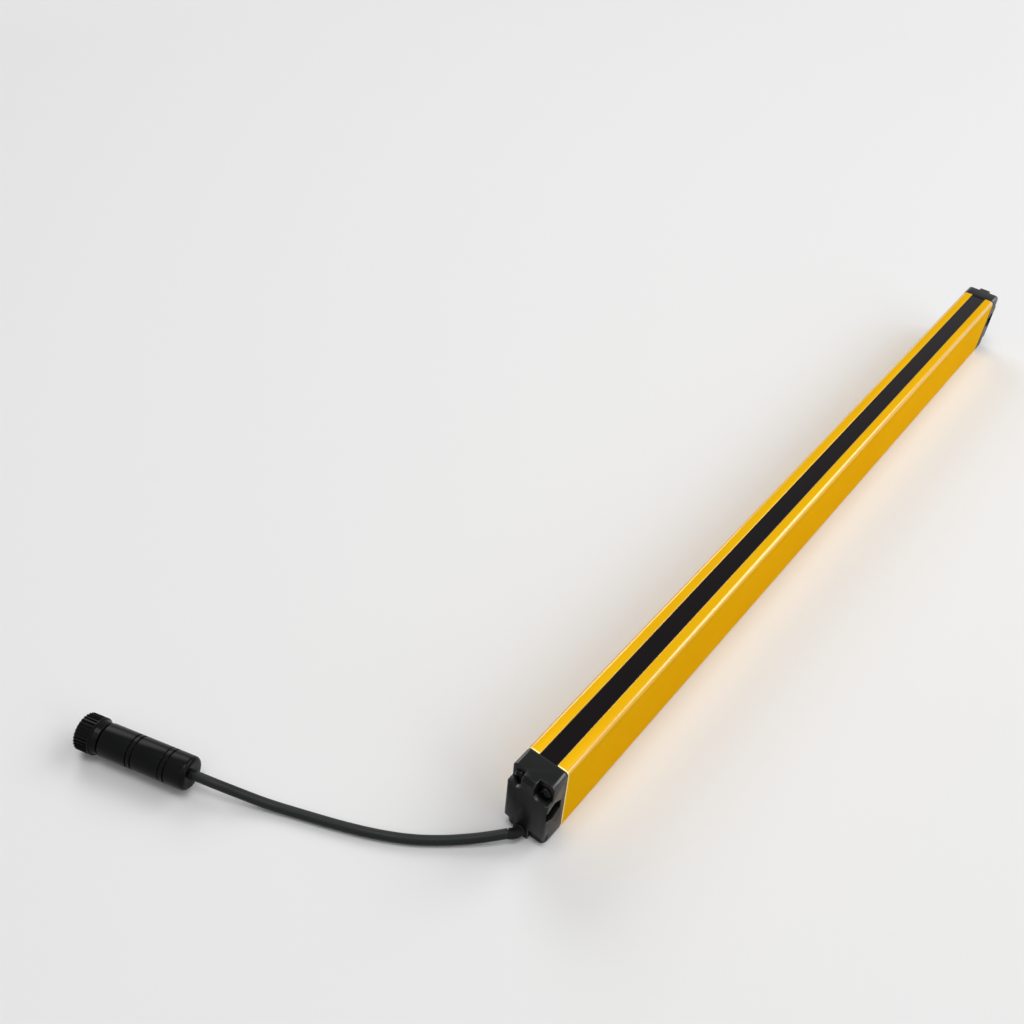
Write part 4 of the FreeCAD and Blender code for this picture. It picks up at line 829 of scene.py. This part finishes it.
def groove(place, width=1.0, depth=0.8, slope=0.08):
    """The corners of a shallow groove turned into the body, with its walls a little sloped."""
    floor_radius = BODY_RADIUS - depth
    return [(place - width / 2, BODY_RADIUS, 0.15), (place - width / 2 + slope, floor_radius, 0.1),
            (place + width / 2 - slope, floor_radius, 0.1), (place + width / 2, BODY_RADIUS, 0.15)]


body_outline = rounded([
    (11.6, 6.45, 0), (11.6, 8.2, 0.2), (15.6, 8.2, 0), (15.6, BODY_RADIUS, 1.1), *groove(35.3),
    *groove(38.5), (57, BODY_RADIUS, 0.3), (57, 8.6, 0), (24, 8.6, 0), (24, 6.45, 0)])
nut_outline = rounded([
    (50.9, 5.65, 0), (50.9, 8.55, 0.2), (57.5, 8.55, 0), (57.5, BODY_RADIUS, 0.3), *groove(60.7),
    (CONNECTOR_LENGTH, BODY_RADIUS, 3.4), (CONNECTOR_LENGTH, 4.15, 0.3), (71, 4.15, 0), (71, 5.65, 0)], 8)
for name, outline, node in (("connector_barrel", body_outline, "connector_body"),
                            ("connector_clamp_nut", nut_outline, "clamp_nut")):
    mesh = turned(name, outline)
    mesh.transform(CONNECTOR)
    mesh.materials.append(connector_pbt)
    shown(name, mesh, BAR, "connector_plastic", node)

# %% [markdown]
# ## The coupling ring
#
# The ring turns on the body's neck, so it rides on a body of its own. Thirty ribs give it grip.
# They repeat around the axis, so a tree makes one rib and sets copies round the turned ring.

# %% The rib tree
rib_tree, given = new_tree("ribs_round_a_ring", Count="Int", Length="Float", Width="Float", Height="Float",
                           Radius="Float", Front="Float")
rod = add(rib_tree, "GeometryNodeMeshCylinder", {"Vertices": 16, "Radius": 1.0, "Depth": given["Length"]})
flat = add(rib_tree, "GeometryNodeTransform", {"Geometry": rod.outputs[0], "Rotation": (0, math.pi / 2, 0)})
form = add(rib_tree, "ShaderNodeCombineXYZ", {"X": 1.0, "Y": given["Width"], "Z": given["Height"]})
rise = add(rib_tree, "ShaderNodeCombineXYZ", {"X": given["Front"], "Z": given["Radius"]})
rib = add(rib_tree, "GeometryNodeTransform", {"Geometry": flat.outputs[0], "Translation": rise.outputs[0],
                                              "Scale": form.outputs[0]})
starts = add(rib_tree, "GeometryNodeMeshLine", {"Count": given["Count"], "Offset": (0, 0, 0)})
number = add(rib_tree, "GeometryNodeInputIndex")
share = add(rib_tree, "ShaderNodeMath", {0: number.outputs[0], 1: given["Count"]}, operation="DIVIDE")
angle = add(rib_tree, "ShaderNodeMath", {0: share.outputs[0], 1: 2 * math.pi}, operation="MULTIPLY")
about = add(rib_tree, "ShaderNodeCombineXYZ", {"X": angle.outputs[0]})
turn_to = add(rib_tree, "FunctionNodeEulerToRotation", {0: about.outputs[0]})
around = add(rib_tree, "GeometryNodeInstanceOnPoints", {
    "Points": starts.outputs[0], "Instance": rib.outputs[0], "Rotation": turn_to.outputs[0]})
ribbed = add(rib_tree, "GeometryNodeJoinGeometry", {0: around.outputs[0]})
rib_tree.links.new(given["Start"], ribbed.inputs[0])
close_tree(rib_tree, given, ribbed.outputs[0])

# %% Coupling ring
ring_outline = rounded([
    (0, 9.6, 0.3), (0, 10.7, 0.5), (9.7, 10.6, 0), (9.7, 11.5, 0.2), (10.5, 11.5, 0.3), (10.9, 10.6, 0.3),
    (14.6, 9.7, 0.6), (14.6, 8.28, 0.2), (11.8, 8.28, 0), (11.8, 9.6, 0)])
ring_mesh = grown(turned("ring", ring_outline), rib_tree, Count=30, Length=9.6 * MM, Width=0.42 * MM,
                  Height=0.95 * MM, Radius=10.55 * MM, Front=5.1 * MM, Finish=connector_pbt)
ring_mesh.transform(CONNECTOR)
ring_mesh.polygons.foreach_set("use_smooth", [True] * len(ring_mesh.polygons))
ring_piece = shown("fluted_coupling_ring", ring_mesh, RING, "connector_plastic", "coupling_ring")

# %% [markdown]
# ## The pieces that stay as they are
#
# Gaskets, boards, lenses, cores and contacts need no smoother stand-in: the exact solids already
# look like the real ones. Each only takes the finish of what it is made of, so one table says
# which nodes share a finish.

# %% Finishes for the CAD pieces that stay
FINISHES = {
    seal_rubber: ("cable_end_gasket", "far_end_gasket", "cable_bush", "insert_seal"),
    board_green: ("optic_board", "control_board"),
    inner_abs: ("lens_carrier", "control_chips", "link_header"),
    lens_clear: ("lens_strip",),
    diode_epoxy: ("beam_diodes",),
    plug_nylon: ("lead_plug",),
    lead_pvc: ("inner_leads", "core_leads"),
    insert_pbt: ("contact_insert",),
    gold_contact: ("contact_sockets",),
}
for finish, names in FINISHES.items():
    for name in names:
        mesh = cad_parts[name].data
        mesh.materials.clear()
        mesh.materials.append(finish)
print("finished nodes:", sum(len(names) for names in FINISHES.values()))

# %% [markdown]
# ## The lead's length
#
# The lead is a free cord that is seen from end to end, so what shows is its whole length.

# %% The lead's length
print("the lead's length:", LEAD_LENGTH, "m")

# %% [markdown]
# ## Floor, world and lamps
#
# A plain pale floor and five large soft lamps, as in a studio. The biggest stands behind the bar
# on the right, so its reflection runs along the rounded corner of the housing. One stands behind
# it on the left, one hangs over the connector and draws the streak along it, and two weak ones on
# the right and in front keep the near sides readable. The backdrop's colour is given to the rays
# that show it to the camera, straight, mirrored or through glass, and adds no light. The floor is
# matt pale paper that keeps the bar's soft shadow and fades into the backdrop far out, so that no
# horizon cuts the picture.

# %% Floor
BACKGROUND, FLOOR_REACH = "#F2F2F2", 20
FADE_START, FADE_END = 1.2, 2.6


def seen_rays(tree):
    """1 for rays that show the background to the camera, straight, mirrored or through glass."""
    path = add(tree, "ShaderNodeLightPath").outputs
    first = add(tree, "ShaderNodeMath", {0: path["Is Camera Ray"], 1: path["Is Glossy Ray"]},
                operation="MAXIMUM")
    return add(tree, "ShaderNodeMath", {0: first.outputs[0], 1: path["Is Transmission Ray"]},
               operation="MAXIMUM").outputs[0]


floor_mesh = bpy.data.meshes.new("floor")
corners = [(x * FLOOR_REACH, y * FLOOR_REACH, 0) for x, y in ((-1, -1), (1, -1), (1, 1), (-1, 1))]
floor_mesh.from_pydata(corners, [], [(0, 1, 2, 3)])
floor = bpy.data.objects.new("floor", floor_mesh)
floor_finish, tree, place = new_material("floor_paper")
paper = add(tree, "ShaderNodeBsdfPrincipled", {"Base Color": colour("#EFEFEF"), "Roughness": 0.9})
away = add(tree, "ShaderNodeVectorMath", {0: place}, operation="LENGTH")
fade = add(tree, "ShaderNodeMapRange", {
    "Value": away.outputs["Value"], "From Min": FADE_START, "From Max": FADE_END})
share = add(tree, "ShaderNodeMath", {0: fade.outputs[0], 1: seen_rays(tree)}, operation="MULTIPLY")
paper_glow = add(tree, "ShaderNodeEmission", {"Color": colour(BACKGROUND)})
paper_both = add(tree, "ShaderNodeMixShader", {
    0: share.outputs[0], 1: paper.outputs[0], 2: paper_glow.outputs[0]})
add(tree, "ShaderNodeOutputMaterial", {"Surface": paper_both.outputs[0]})
floor_mesh.materials.append(floor_finish)
scene.collection.objects.link(floor)
print("floor:", 2 * FLOOR_REACH, "m wide, fading from", FADE_START, "to", FADE_END, "m")

# %% World and lamps
world = bpy.data.worlds.new("studio")
scene.world = world
world.use_nodes = True
world.node_tree.nodes.clear()
tree = world.node_tree
fill = add(tree, "ShaderNodeBackground", {"Color": colour("#FFFFFF"), "Strength": 0.1})
backdrop = add(tree, "ShaderNodeBackground", {"Color": colour(BACKGROUND), "Strength": 1.0})
sky = add(tree, "ShaderNodeMixShader", {0: seen_rays(tree), 1: fill.outputs[0], 2: backdrop.outputs[0]})
add(tree, "ShaderNodeOutputWorld", {"Surface": sky.outputs[0]})


def softbox(name, place, aim, size, watts):
    """A large soft lamp at a place, turned to face another."""
    data = bpy.data.lights.new(name, "AREA")
    data.shape = "RECTANGLE"
    data.size, data.size_y = size
    data.energy = watts
    lamp = bpy.data.objects.new(name, data)
    lamp.location = place
    lamp.rotation_euler = (Vector(aim) - Vector(place)).to_track_quat("-Z", "Y").to_euler()
    scene.collection.objects.link(lamp)


softbox("lamp_back_right", (2.0, 2.7, 2.9), (0, 0, 0), (4.4, 2.7), 120)
softbox("lamp_back_left", (-3.2, 1.7, 2.6), (-0.1, 0, 0), (2.4, 2.0), 52)
softbox("lamp_overhead", (-0.2, -0.5, 2.6), (-0.1, -0.3, 0), (1.1, 1.0), 20)
softbox("lamp_right", (2.8, -0.4, 1.7), (0, -0.1, 0), (1.6, 1.6), 17)
softbox("lamp_front", (0.2, -2.6, 3.2), (0, -0.2, 0), (2.0, 2.0), 11)

# %% [markdown]
# ## Plain colours
#
# The picture keeps plain colours, with no filmic curve over them.

# %% Finish
scene.view_settings.view_transform = "Standard"
